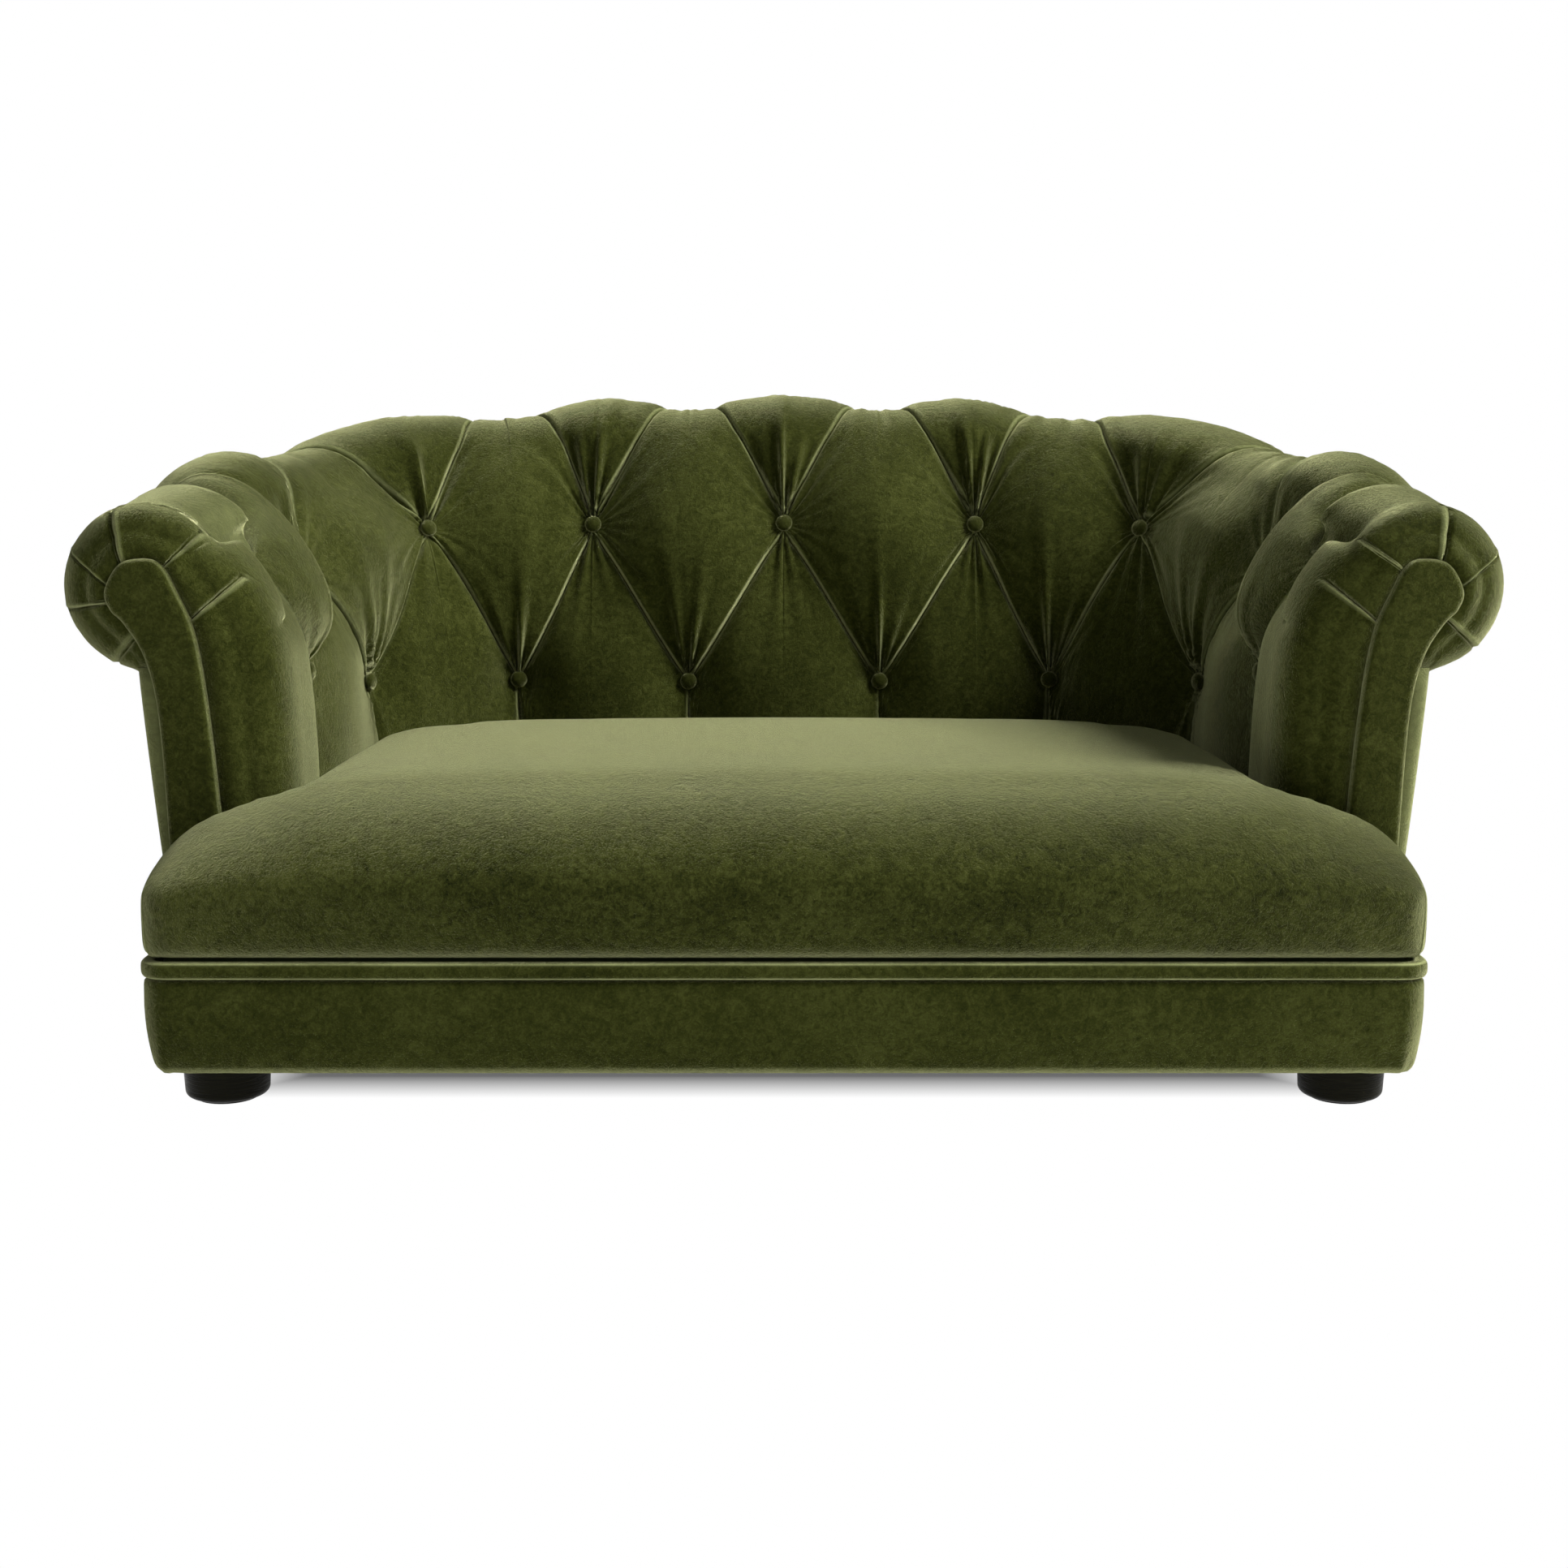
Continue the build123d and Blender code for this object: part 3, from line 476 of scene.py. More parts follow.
def welt_cord():
    plan = base_plan(welt_inset)
    points, highlights = [], []
    for spot, out, run in walked(plan):
        swell = 1 + 0.025 * math.sin(run * 31) + 0.02 * math.sin(run * 83 + 1)
        for step in range(welt_steps):
            angle = 2 * math.pi * step / welt_steps
            across, up = math.cos(angle), math.sin(angle)
            lip = math.exp(-((abs(up) - 0.80) / 0.10) ** 2) if across > 0 else 0.0
            reach = (welt_height / 2 - 0.0002) * (abs(across) ** 3 + abs(up) ** 3) ** (-1 / 3)
            radial = reach * swell * (1 + 0.05 * lip) if across > 0 else reach
            height = up * reach + 0.0004 * math.sin(run * 12) * (1 - abs(up))
            height = min(max(height, -welt_height / 2), welt_height / 2)
            points.append((*(spot + out * across * radial * 0.88), welt_middle + height))
            # painted highlight along the upper and lower lips
            highlights.append(lip * (0.75 + 0.2 * math.sin(run * 47)))
    return marked(mesh_piece("welt_cord", points, around(len(plan), welt_steps, loop=True), velvet), highlights)


welt = welt_cord()
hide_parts("base_welt")
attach(welt, "sofa")


# Inside back and arms: a single buttoned skin over foam and wadding. It climbs from the deck,
# leans out, rolls over the top rail and is tacked under the roll. The buttons pull it in on a
# diamond grid: nine half diamonds from the middle of the back to the front of each arm.
half_tub, tub_depth, tub_corner, arm_setback = 0.345, 0.472, 0.140, 0.090
back_y = base_front + tub_depth
arm_front = base_front + arm_setback
straight_back = half_tub - tub_corner
straight_arm = tub_depth - arm_setback - tub_corner
corner_run = tub_corner * math.pi / 2
path_length = straight_back + corner_run + straight_arm
wall_foot = 0.1093
arm_height, back_height = 0.4205, 0.5025
pad_foot_out, elbow_out = 0.006, 0.0085
roll_outs, roll_radii = (0.1150, 0.1135), (0.0600, 0.061)
lower_row = (0.252, 0.252, 0.253, 0.254, 0.257, 0.262, 0.272, 0.286, 0.290, 0.290)
upper_row = (0.401, 0.401, 0.400, 0.400, 0.399, 0.388, 0.372, 0.382, 0.393, 0.388)
upper_out_row = (0.023, 0.023, 0.023, 0.023, 0.023, 0.025, 0.028, 0.038, 0.045, 0.047)
lower_outs, middle_outs = (0.007, 0.0), (0.014, 0.010)
roll_angles = (35, 90, 135, 160, 185, 226, 262)
column_shares = (0.0, 0.13, 0.26, 0.353, 0.444, 0.55, 0.645, 0.765, 0.875, 1.0)
height_shares = (1.0, 0.99, 0.96, 0.89, 0.74, 0.49, 0.37, 0.26, 0.06, 0.0)
front_column, join_column, last_button_column = 9, 6, 8
LOWER, UPPER, ROLL, HIDDEN, OUTER, TACK = 1.0, 2.0, 2.5, 3.0, 3.5, 4.0
back_button_depth, arm_button_depth, crest_rise, band_dip = 0.025, 0.023, 0.0035, 0.005
back_pleat_share, arm_pleat_share = 0.5, 0.72
back_drop_depth, arm_drop_depth = 0.011, 0.024
# how far the skin stands out over the roll, from the upper buttons to the roll's outer side
back_puffs, arm_puffs = (0.0, 0.003, 0.006, 0.007, 0.004, 0.002, 0.0), (0.0, 0.006, 0.018, 0.006, 0.001, 0.0, 0.0)
back_seam_ease, arm_seam_ease, front_puff_share, arm_tuft_puff = 0.72, 0.15, 0.6, 0.009
seat_level_share, front_tuft_share = 0.06, 0.15
level_size = 0.128


def mix(start, end, share):
    return start + (end - start) * share


def clamped(value):
    return min(max(value, 0.0), 1.0)


def smooth(value):
    return clamped(value) ** 2 * (3 - 2 * clamped(value))


def bell(distance, width):
    """1 at no distance, and less and less to either side."""
    return math.exp(-(distance / width) ** 2)


def curve(start, end, leaving, arriving, u):
    """Place and slope at a share u of a smooth run from start to end with these slopes."""
    square = 3 * (end - start) - 2 * leaving - arriving
    cube = leaving + arriving - 2 * (end - start)
    return start + u * (leaving + u * (square + u * cube)), leaving + u * (2 * square + 3 * u * cube)


def between(values, place):
    index = min(int(place), len(values) - 2)
    return mix(values[index], values[index + 1], place - index)


def eased(values, place):
    """Read a list between its entries along a smooth curve through them."""
    index = min(int(place), len(values) - 2)
    before, after = values[max(index - 1, 0)], values[min(index + 2, len(values) - 1)]
    start, end = values[index], values[index + 1]
    return curve(start, end, (end - before) / 2, (after - start) / 2, place - index)[0]


def station(column):
    """Plan point and outward direction of a column; the left side's are negative."""
    side = -1 if column < 0 else 1
    along = path_length * between(column_shares, abs(column))
    if along <= straight_back:
        x, y, turn = along, back_y, 0.0
    elif along <= straight_back + corner_run:
        turn = (along - straight_back) / tub_corner
        x, y = straight_back + tub_corner * math.sin(turn), back_y - tub_corner * (1 - math.cos(turn))
    else:
        turn = math.pi / 2
        x, y = half_tub, back_y - tub_corner - (along - straight_back - corner_run)
    return side * x, y, side * math.sin(turn), math.cos(turn)


def level_knots(column):
    """Levels of the skin's section at a column, with their distance out and height, and its roll."""
    column = abs(column)
    share = eased(height_shares, column)
    pairs = (lower_outs, middle_outs, roll_outs, roll_radii, (arm_height, back_height))
    lower_out, middle_out, roll_out, roll_radius, top = (mix(arm, back, share) for arm, back in pairs)
    elbow = elbow_out * bell(column - 7.45, 0.55)
    lower, upper, upper_out = (eased(row, column) for row in (lower_row, upper_row, upper_out_row))
    centre, turn = top - roll_radius, math.radians(roll_angles[0])
    start_out, start_height = roll_out - roll_radius * math.cos(turn), centre + roll_radius * math.sin(turn)
    reach = 1.5 * math.hypot(start_out - upper_out, start_height - upper)
    knots = [
        (0.0, pad_foot_out + elbow, wall_foot), (LOWER, lower_out + elbow, lower),
        (1.5, middle_out + elbow * 0.7, (lower + upper) / 2), (UPPER, upper_out, upper),
        (ROLL, start_out, start_height),
        (2.75, upper_out + reach * math.sin(turn), upper + reach * math.cos(turn)),
    ]
    return knots, roll_out, centre, roll_radius


def section_point(section, level, sink):
    """Distance out and height of the skin at a level, sunk along its normal; the roll is a true circle."""
    knots, roll_out, centre, roll_radius = section
    if level >= ROLL:
        turn = math.radians(eased(roll_angles, (level - ROLL) * 4))
        radius = roll_radius - sink
        return roll_out - radius * math.cos(turn), centre + radius * math.sin(turn)
    last = len(knots) - 1
    index = 0
    while index < last - 1 and level > knots[index + 1][0]:
        index += 1
    start, end = knots[index], knots[index + 1]
    before, after = knots[max(index - 1, 0)], knots[min(index + 2, last)]
    run = end[0] - start[0]
    (out, slope_out), (height, slope_up) = (
        curve(start[i], end[i], (end[i] - before[i]) / (end[0] - before[0]) * run,
              (after[i] - start[i]) / (after[0] - start[0]) * run, (level - start[0]) / run)
        for i in (1, 2)
    )
    size = math.hypot(slope_out, slope_up)
    return out + sink * slope_up / size, height - sink * slope_out / size


def skin_point(column, level, sink):
    x, y, out_x, out_y = station(column)
    out, height = section_point(level_knots(column), level, sink)
    return Vector((x + out_x * out, y + out_y * out, height))


def button_levels(column):
    return (UPPER,) if column % 2 == 0 else (LOWER, HIDDEN)


# every button: column and level, and its own wrinkles: their number, phase and strength
button_grid = [
    (side * column, level)
    for column in range(front_column)
    for side in ((1,) if column == 0 else (-1, 1))
    for level in button_levels(column)
]
wrinkles = {
    spot: (random.uniform(19, 25), random.uniform(0, 6.3), random.uniform(0.7, 1.15)) for spot in button_grid
}
wrinkle_reach, wrinkle_start, wrinkle_rise, wrinkle_limit = 0.040, 0.008, 0.0085, 0.16
dimple_radius, hollow_radius, hollow_share = 0.0125, 0.031, 0.44


def column_size(column):
    index = min(int(abs(column)), front_column - 1)
    return path_length * (column_shares[index + 1] - column_shares[index])


def gathered(column, level):
    """How the buttons near a place sink and wrinkle the skin: (share of full depth, wrinkle height)."""
    sunk, wrinkle = 0.0, 0.0
    for other in (round(column) - 1, round(column), round(column) + 1):
        if abs(other) > last_button_column:
            continue
        for row in button_levels(other):
            across = (column - other) * column_size((column + other) / 2)
            up = (level - row) * level_size * (1.35 if row == HIDDEN or level > 2.5 else 1.0)
            away = math.hypot(across, up)
            if away > wrinkle_limit:
                continue
            hollow = hollow_share * bell(away, hollow_radius)
            sunk = max(sunk, hollow + (1 - hollow) * math.exp(-(away / dimple_radius) ** 3))
            count, phase, strength = wrinkles[(other, row)]
            angle = math.atan2(across, up)
            fan = bell(angle, 0.50) + 0.30 * bell(abs(angle) - math.pi, 0.55) + 0.12
            fade = (1 - bell(away, wrinkle_start)) * math.exp(-away / wrinkle_reach)
            wave = math.cos(angle * count + phase) + 0.5 * math.cos(angle * count * 1.7 + 2 * phase)
            wrinkle += strength * wave * fan * fade * (1.0 if row == UPPER else 0.8)
    return sunk, wrinkle * wrinkle_rise


def arm_share(column):
    return clamped((abs(column) - 5) / 2)


def button_depth(column):
    return mix(back_button_depth, arm_button_depth, arm_share(column))


def puff_at(level, on_arm):
    """How far the skin stands out at a level of the roll between its pleats."""
    place = min(max((level - UPPER) * 4, 0.0), len(back_puffs) - 1)
    return mix(eased(back_puffs, place), eased(arm_puffs, place), on_arm)


def tuft_shape(column):
    """The numbers of a column's section: fade, where its pleats lie and how deep they are."""
    place = abs(column)
    away = abs((place + 1) % 2 - 1)
    fade = mix(1.0, front_tuft_share, max(place - last_button_column, 0.0))
    parted = mix(seat_level_share, 1, away)
    button = button_depth(column) * fade
    pleat = button * mix(back_pleat_share, arm_pleat_share, arm_share(column))
    return away, fade, parted, button, mix(pleat, button, abs(2 * away - 1) ** 1.5)


groove_width, groove_sink, lip_place, lip_width, lip_rise = 0.0013, 0.0038, 0.0030, 0.0022, 0.0009
# place and width of the painted highlight line on each pleat's lip
line_place, line_width = 0.0017, 0.0006
pleat_slope = 0.62


def fold_edge(distance, over):
    """The pleat's own profile: a narrow groove, and a rounded lip on the side that lies over."""
    lip = lip_rise * bell(distance - lip_place, lip_width)
    return groove_sink * bell(distance, groove_width) - lip * (1.0 if over else -0.5)


def pleat_gap(part, zone, parted):
    """Distance over the skin to the pleat that ends a zone of the section."""
    if zone == "middle":
        levels = (1 - abs(part)) * parted
    elif zone == "lower":
        levels = (1 - part) * (UPPER - parted)
    else:
        levels = part * (OUTER - UPPER - parted)
    return levels * level_size * pleat_slope


def sink_at(column, level, part, zone, edged=1.0):
    """How deep the skin lies under its smooth section; part runs through a zone of the section."""
    away, fade, parted, button, seam = tuft_shape(column)
    on_arm = arm_share(column)
    near_crest = smooth((away - 0.2) / 0.45)
    upper_seam = seam * (1 - mix(back_seam_ease, arm_seam_ease, on_arm) * near_crest)
    edge_share = fade * edged
    upper_edge = edge_share * (1 - 0.45 * near_crest * (1 - on_arm))
    side_edge = edge_share * fold_edge((1 - away) * column_size(column), column < round(column))
    gap = pleat_gap(part, zone, parted)
    if zone == "middle":
        centre = button * (1 - math.sin(away * math.pi / 2)) - arm_tuft_puff * on_arm * away * fade
        centre += band_dip * smooth((away - 0.6) / 0.4) * smooth((level - 2.3) / 0.4) * fade
        seam, edge, power = (upper_seam, upper_edge, 6) if part > 0 else (seam, edge_share, 3)
        sink = mix(centre, seam, abs(part) ** power) + edge * fold_edge(gap, part < 0)
    elif zone == "lower":
        drop = mix(back_drop_depth, arm_drop_depth, on_arm) * fade * away ** 2
        sink = mix(drop, seam, part ** 3) + edge_share * fold_edge(gap, False)
        sink += side_edge * (1 - part ** 8) * 0.8
    else:
        crest = -(crest_rise * away ** 2 + puff_at(level, on_arm) * (1 - away ** 2)) * fade
        if zone == "crest":
            sink = mix(upper_seam, crest, 1 - (1 - min(part / 0.5, 1.0)) ** 2)
            sink += upper_edge * fold_edge(gap, True) + side_edge
        else:
            sink = (side_edge + (crest if zone == "tacking" else 0.0)) * (1 - part)
    sunk, wrinkle = gathered(column, level)
    return mix(sink, button_depth(column), sunk * fade) - wrinkle * fade * edged * (1 - 0.6 * on_arm)


lower_rows, middle_rows, crest_rows, tacking_rows, tucked_rows = 26, 54, 26, 8, 3
tuck_run, tuck_rise = 0.024, 0.002
columns_between = 26


def section_rows(column):
    """(level, part, zone) of each point up the section of a column; rows crowd at the pleats."""
    parted = tuft_shape(column)[2]
    low, high = UPPER - parted, UPPER + parted
    lower = [math.sin(math.pi / 2 * step / lower_rows) for step in range(lower_rows)]
    middle = [-math.cos(math.pi * step / middle_rows) for step in range(middle_rows)]
    crest = [1 - math.cos(math.pi / 2 * step / crest_rows) for step in range(crest_rows)]
    tacking = [step / tacking_rows for step in range(tacking_rows + 1)]
    rows = [(part * low, part, "lower") for part in lower]
    rows += [(UPPER + part * parted, part, "middle") for part in middle]
    rows += [(mix(high, OUTER, part), part, "crest") for part in crest]
    rows += [(mix(OUTER, TACK, part), part, "tacking") for part in tacking]
    return rows + [(TACK, step / tucked_rows, "tucked") for step in range(1, tucked_rows + 1)]


def zone_at(level, parted):
    """(part, zone) of a level on a section whose upper pleats lie parted from the upper buttons."""
    if level < UPPER - parted:
        return level / (UPPER - parted), "lower"
    if level < UPPER + parted:
        return (level - UPPER) / parted, "middle"
    if level < OUTER:
        return (level - UPPER - parted) / (OUTER - UPPER - parted), "crest"
    return (level - OUTER) / (TACK - OUTER), "tacking"


# strength of that painted highlight line in each zone of the section
pleat_highlight_strengths = {"lower": 0.1, "middle": 0.50, "crest": 0.5}
under_strength, side_strength = 0.60, 0.45


def pleat_highlight(part, zone, parted, away, column):
    """Share of painted highlight: a thin pale line on the lip of each pleat."""
    if zone not in pleat_highlight_strengths:
        return 0.0
    strength = under_strength if zone == "middle" and part < 0 else pleat_highlight_strengths[zone]
    line = strength * bell(pleat_gap(part, zone, parted) - line_place, line_width)
    if zone != "middle" and column < round(column):
        line = max(line, side_strength * bell((1 - away) * column_size(column) - line_place, line_width))
    return line


def painted_arm_highlight(column, level):
    """Share of pale pile painted along the top of an arm as a painted highlight, more on the left one."""
    most = 0.22 if column < 0 else 0.05
    return most * bell(level - 2.42, 0.30) * smooth((abs(column) - 6.7) / 1.3)


# The front of each arm: the skin turns round the stump's edge and is pleated in behind the
# facing. Levels of the pleats are read off the photograph, left and right.
front_turn, front_inner_turn, roll_turn, front_bulge = 0.042, 0.038, 0.021, 0.0045
facing_points = (
    (0.55, 0.0), (0.64, 0.44), (0.73, 0.68), (0.854, 0.789), (0.94, 0.842), (1.05, 0.861), (1.243, 0.849),
    (1.354, 0.789), (1.32, 0.745), (1.229, 0.713), (1.097, 0.637), (1.02, 0.511), (0.985, 0.26), (0.97, 0.0),
)
wall_width = half_base - half_tub
facing_rise = 0.3177
facing_places = (
    (0.0, 0.0), (1.0, 1.3), (1.85, 2.3), (2.56, 4.0), (2.86, 6.0), (3.18, 6.8), (3.57, 7.6), (3.875, 9.5),
    (4.0, 10.3),
)
front_pleats = {-1: (1.85, 2.56, 2.86, 3.18, 3.57, 3.875), 1: (1.83, 2.52, 2.83, 3.20, 3.76)}
pleat_offsets = (-0.062, -0.040, -0.026, -0.016, -0.008, 0.0, 0.008, 0.016, 0.026, 0.040, 0.062)
turn_steps, face_steps = 14, 12


def facing_edge(place):
    """Point (distance out, height) on the facing's outline at a fractional corner number."""
    outs = [out * wall_width for out, _ in facing_points]
    ups = [wall_foot + up * facing_rise for _, up in facing_points]
    return eased(outs, place), eased(ups, place)


def facing_place(level):
    for (low, first), (high, second) in zip(facing_places, facing_places[1:]):
        if level <= high:
            return mix(first, second, (level - low) / (high - low))
    return facing_places[-1][1]


def front_levels(side, count):
    """Levels for the rows of an arm's front: crowded at its pleats, even elsewhere."""
    count -= tucked_rows
    chosen = sorted(level + offset for level in front_pleats[side] for offset in pleat_offsets
                    if 0 < level + offset < TACK)
    spare = count - len(chosen)
    extra = [TACK * (step + 0.5) / spare for step in range(spare)]
    levels = sorted(chosen + extra)
    levels[0], levels[-1] = 0.0, TACK
    return levels + [TACK] * tucked_rows


def front_pleat(side, level, strength):
    """(sink, painted highlight share) of the pleats that run from an arm's edge in to its facing."""
    sink, line = 0.0, 0.0
    for pleat in front_pleats[side]:
        gap = (level - pleat) * (0.098 if pleat < 2.4 else 0.145)
        sink += 0.0036 * bell(gap, 0.0012) - 0.0015 * bell(gap + 0.0030, 0.0018)
        # painted highlight on each pleat's lip
        line = max(line, 0.50 * bell(gap + 0.0029, 0.0012))
    return sink * strength, line * strength


def arm_front_sections(side):
    """Sections from the edge of an arm round to its facing: (point, painted highlight share) of each row."""
    main, parted = section_rows(end_column), tuft_shape(end_column)[2]
    pleated = front_levels(side, len(main))
    sections = []
    for step in range(1, turn_steps + face_steps + 1):
        turn, inwards = min(step / turn_steps, 1.0), max(step - turn_steps, 0) / face_steps
        angle, ease = turn * math.pi / 2, smooth(turn)
        behind = front_turn * (1 - math.sin(angle))
        column = front_column - behind / column_size(front_column - 0.5)
        knots = level_knots(column)
        section = []
        for row, ((low_level, _, _), pleat_level) in enumerate(zip(main, pleated)):
            level = mix(low_level, pleat_level, smooth(turn / 0.55))
            part, zone = zone_at(level, parted)
            tucked = max(row - (len(main) - 1 - tucked_rows), 0) / tucked_rows
            strength = smooth(turn / 0.3) if level > 2.3 else smooth((turn - 0.22) / 0.35)
            sink, line = front_pleat(side, level, strength)
            tufted = sink_at(side * end_column, level, part, zone, (1 - ease) ** 4)
            fullness = puff_at(level, 1.0) * front_puff_share
            edge = Vector(section_point(knots, level, tufted * (1 - ease) ** 2 - fullness * ease))
            toward = Vector(facing_edge(facing_place(level))) - edge
            length = max(toward.length, 1e-6)
            outer = clamped((level - 2.2) / 0.6)
            run = mix(front_turn, roll_turn, outer)
            inner_turn = min(mix(front_inner_turn, roll_turn, outer), 0.62 * length)
            rounded = 1 - math.sqrt(max(1 - max(1 - behind / run, 0.0) ** 2, 0.0))
            moved = inner_turn * rounded + inwards * (length - inner_turn + 0.006)
            bulge = front_bulge * math.sin(math.pi * inwards) * min(length / 0.04, 1)
            out, height = edge + toward / length * (moved + sink * math.cos(angle) * 0.4)
            out -= tuck_run * tucked * (1 - step / (turn_steps + face_steps))
            y = arm_front + behind + 0.0006 - bulge + sink * math.sin(angle)
            # painted highlights: the pleat lips, and the top of the arm near its edge
            highlight_share = max(line, painted_arm_highlight(side * column, level) * (1 - turn) ** 1.5)
            section.append((Vector((side * (half_tub + out), y, height + tuck_rise * tucked)), highlight_share))
        sections.append(section)
    return sections


def inside_section(column):
    """The same of a column of the back or of an arm."""
    away, fade, parted, _, _ = tuft_shape(column)
    x, y, out_x, out_y = station(column)
    knots = level_knots(column)
    section = []
    for level, part, zone in section_rows(column):
        out, height = section_point(knots, level, sink_at(column, level, part, zone))
        if zone == "tucked":
            out, height = out - tuck_run * part, height + tuck_rise * part
        # painted highlights: the pleat lips, and the top of the arm
        highlight_share = max(fade * pleat_highlight(part, zone, parted, away, column), painted_arm_highlight(column, level))
        section.append((Vector((x + out_x * out, y + out_y * out, height)), highlight_share))
    return section


end_column = front_column - front_turn / column_size(front_column - 0.5)
columns = [
    index + 0.5 * (1 - math.cos(math.pi * step / columns_between))
    for index in range(front_column) for step in range(columns_between)
]
columns = [column for column in columns if column < end_column - 0.01] + [end_column]
columns = [-column for column in reversed(columns[1:])] + columns
sections = arm_front_sections(-1)[::-1] + [inside_section(column) for column in columns] + arm_front_sections(1)
front_steps = turn_steps + face_steps
columns = [-end_column] * front_steps + columns + [end_column] * front_steps


def inside_piece(name, wanted):
    """The back's or an arm's part of the skin; they are cut along the pleats where they join."""
    used, faces = {}, []
    for index in range(len(sections) - 1):
        column = (columns[index] + columns[index + 1]) / 2
        for row in range(len(sections[0]) - 1):
            limit = join_column if lower_rows <= row < lower_rows + middle_rows else join_column - 1
            owner = 0 if abs(column) < limit else (-1 if column < 0 else 1)
            if owner == wanted:
                corners = ((index, row), (index + 1, row), (index + 1, row + 1), (index, row + 1))
                faces.append(tuple(used.setdefault(corner, len(used)) for corner in corners))
    points, highlights = zip(*(sections[at][up] for at, up in used))
    return marked(mesh_piece(name, points, faces, velvet), highlights)


skin_thickness = 0.0022
inside = {"inside_back": ("back_pad", 0), "left_inside_arm": ("left_arm_pad", -1),
          "right_inside_arm": ("right_arm_pad", 1)}
for name, (node, wanted) in inside.items():
    piece = thickened(inside_piece(name, wanted), skin_thickness, -1.0)
    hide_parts(node)
    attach(piece, "sofa")


# Buttons: steel shells with a disc of the velvet pressed over them, tied through the padding to
# the frame with twine. Each sits at the bottom of its dimple, square to the skin.
button_radius, button_height, button_rim = 0.0075, 0.0065, 0.0022
button_sides, button_rings = 28, 9


def button_cover(points, faces, highlights, place, facing):
    """Add one domed button at a place, facing along a direction."""
    side = facing.cross(Vector((0, 0, 1))).normalized()
    up = side.cross(facing)
    for face in tube(button_rings + 1, button_sides):
        faces.append(tuple(len(points) + corner for corner in face[:1] + face[:0:-1]))
    for ring in range(button_rings + 1):
        share = ring / button_rings
        if share < 0.25:
            radius = button_radius * (0.93 + 0.07 * math.sin(share * 2 * math.pi))
            height = button_rim * share * 4
        else:
            angle = (share - 0.25) / 0.75 * math.pi / 2
            radius = button_radius * math.cos(angle) + 0.0001
            height = button_rim + (button_height - button_rim) * math.sin(angle)
        for step in range(button_sides):
            turn = 2 * math.pi * step / button_sides
            gather = 1 + 0.012 * math.cos(turn * 9) * (1 - share)
            ray = side * math.cos(turn) + up * math.sin(turn)
            points.append(place + facing * height + ray * radius * gather)
            # painted highlight: a faint pale ring round the rim
            highlights.append(0.10 if 0.2 < share < 0.4 else 0.0)


button_velvet = velvet_finish("button_velvet", 0.7, 1.0)
button_groups = {
    "back_button_covers": ("back_buttons", [spot for spot in button_grid if abs(spot[0]) <= join_column]),
    "left_arm_button_covers": ("left_arm_buttons", [spot for spot in button_grid if spot[0] < -join_column]),
    "right_arm_button_covers": ("right_arm_buttons", [spot for spot in button_grid if spot[0] > join_column]),
}
for name, (node, spots) in button_groups.items():
    points, faces, highlights = [], [], []
    for column, level in spots:
        x, y, out_x, out_y = station(column)
        low, high = (section_point(level_knots(column), level + step, 0.0) for step in (-0.01, 0.01))
        run = Vector((high[0] - low[0], high[1] - low[1])).normalized()
        facing = Vector((-out_x * run.y, -out_y * run.y, run.x))
        button_cover(points, faces, highlights, skin_point(column, level, button_depth(column) - 0.0003), facing)
    piece = marked(mesh_piece(name, points, faces, button_velvet), highlights)
    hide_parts(node)
    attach(piece, "sofa")


# Facings: cane-shaped boards padded and covered with velvet, nailed over the front of each arm
# so that they hide the raw ends of the pleats.
facing_thickness, facing_gap = 0.008, 0.0003
facing_steps = (
    (0.0, 0.0), (0.0, 0.30), (0.0003, 0.55), (0.0010, 0.76), (0.0022, 0.90), (0.0040, 0.975), (0.0060, 1.0),
)
facing_spacing, foot_spacing = 12, 8


def rounded_panel(name, outline, pivot, lift, steps, thickness, material):
    """A padded panel: rings drawn in from an outline while they rise, and a flat run of rungs
    across the first and the last, paired from the pivot point both ways round."""
    count = len(outline)
    points = [
        lift(spot - out * inset, share * thickness) for inset, share in steps for spot, out, _ in walked(outline)
    ]
    faces = around(len(steps), count)
    for start, way in ((0, 1), ((len(steps) - 1) * count, -1)):
        for step in range(count // 2):
            rung = dict.fromkeys(start + (pivot + turn) % count for turn in (step, step + 1, -step - 1, -step))
            faces.append(tuple(rung)[::way])
    return mesh_piece(name, points, faces, material)


corners = (len(facing_points) - 1) * facing_spacing
outline = [Vector(facing_edge(index / facing_spacing)) for index in range(corners + 1)]
outline += [outline[-1].lerp(outline[0], step / foot_spacing) for step in range(1, foot_spacing)]
outline.reverse()
for side, word in ((-1, "left"), (1, "right")):
    def lift(flat, rise, side=side):
        return side * (half_tub + flat.x), arm_front - facing_gap - rise, flat.y

    facing = rounded_panel(word + "_facing_panel", outline, 3, lift, facing_steps, facing_thickness, velvet)
    highlights = []
    for index, vertex in enumerate(facing.data.vertices):
        rise = (arm_front - facing_gap - vertex.co.y) / facing_thickness
        inner = index % len(outline) > 0.55 * len(outline)
        # painted highlight: a pale line on the inner side of the rounded rim
        highlights.append(0.16 if 0.70 < rise < 0.80 and inner else 0.0)
    marked(facing, highlights)
    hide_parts(word + "_arm_facing")
    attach(facing, "sofa")


# Outside back and arms: velvet over card and thin wadding, blind-tacked along the top under the
# roll, pulled down and stapled under the base. The arms' panels turn round the front edge.
panel_foot_inset, panel_slope, panel_face, panel_thickness = 0.002, 0.09, 0.0012, 0.0025
panel_rows, panel_spacing = 14, 14
# forward and inwards, round the front edge of an arm
panel_turn = ((-0.0080, 0.0), (-0.0103, 0.0006), (-0.0116, 0.0022), (-0.0119, 0.0045), (-0.0119, 0.0200))


def panel_out(height):
    return wall_width - panel_foot_inset + panel_slope * (height - wall_foot)


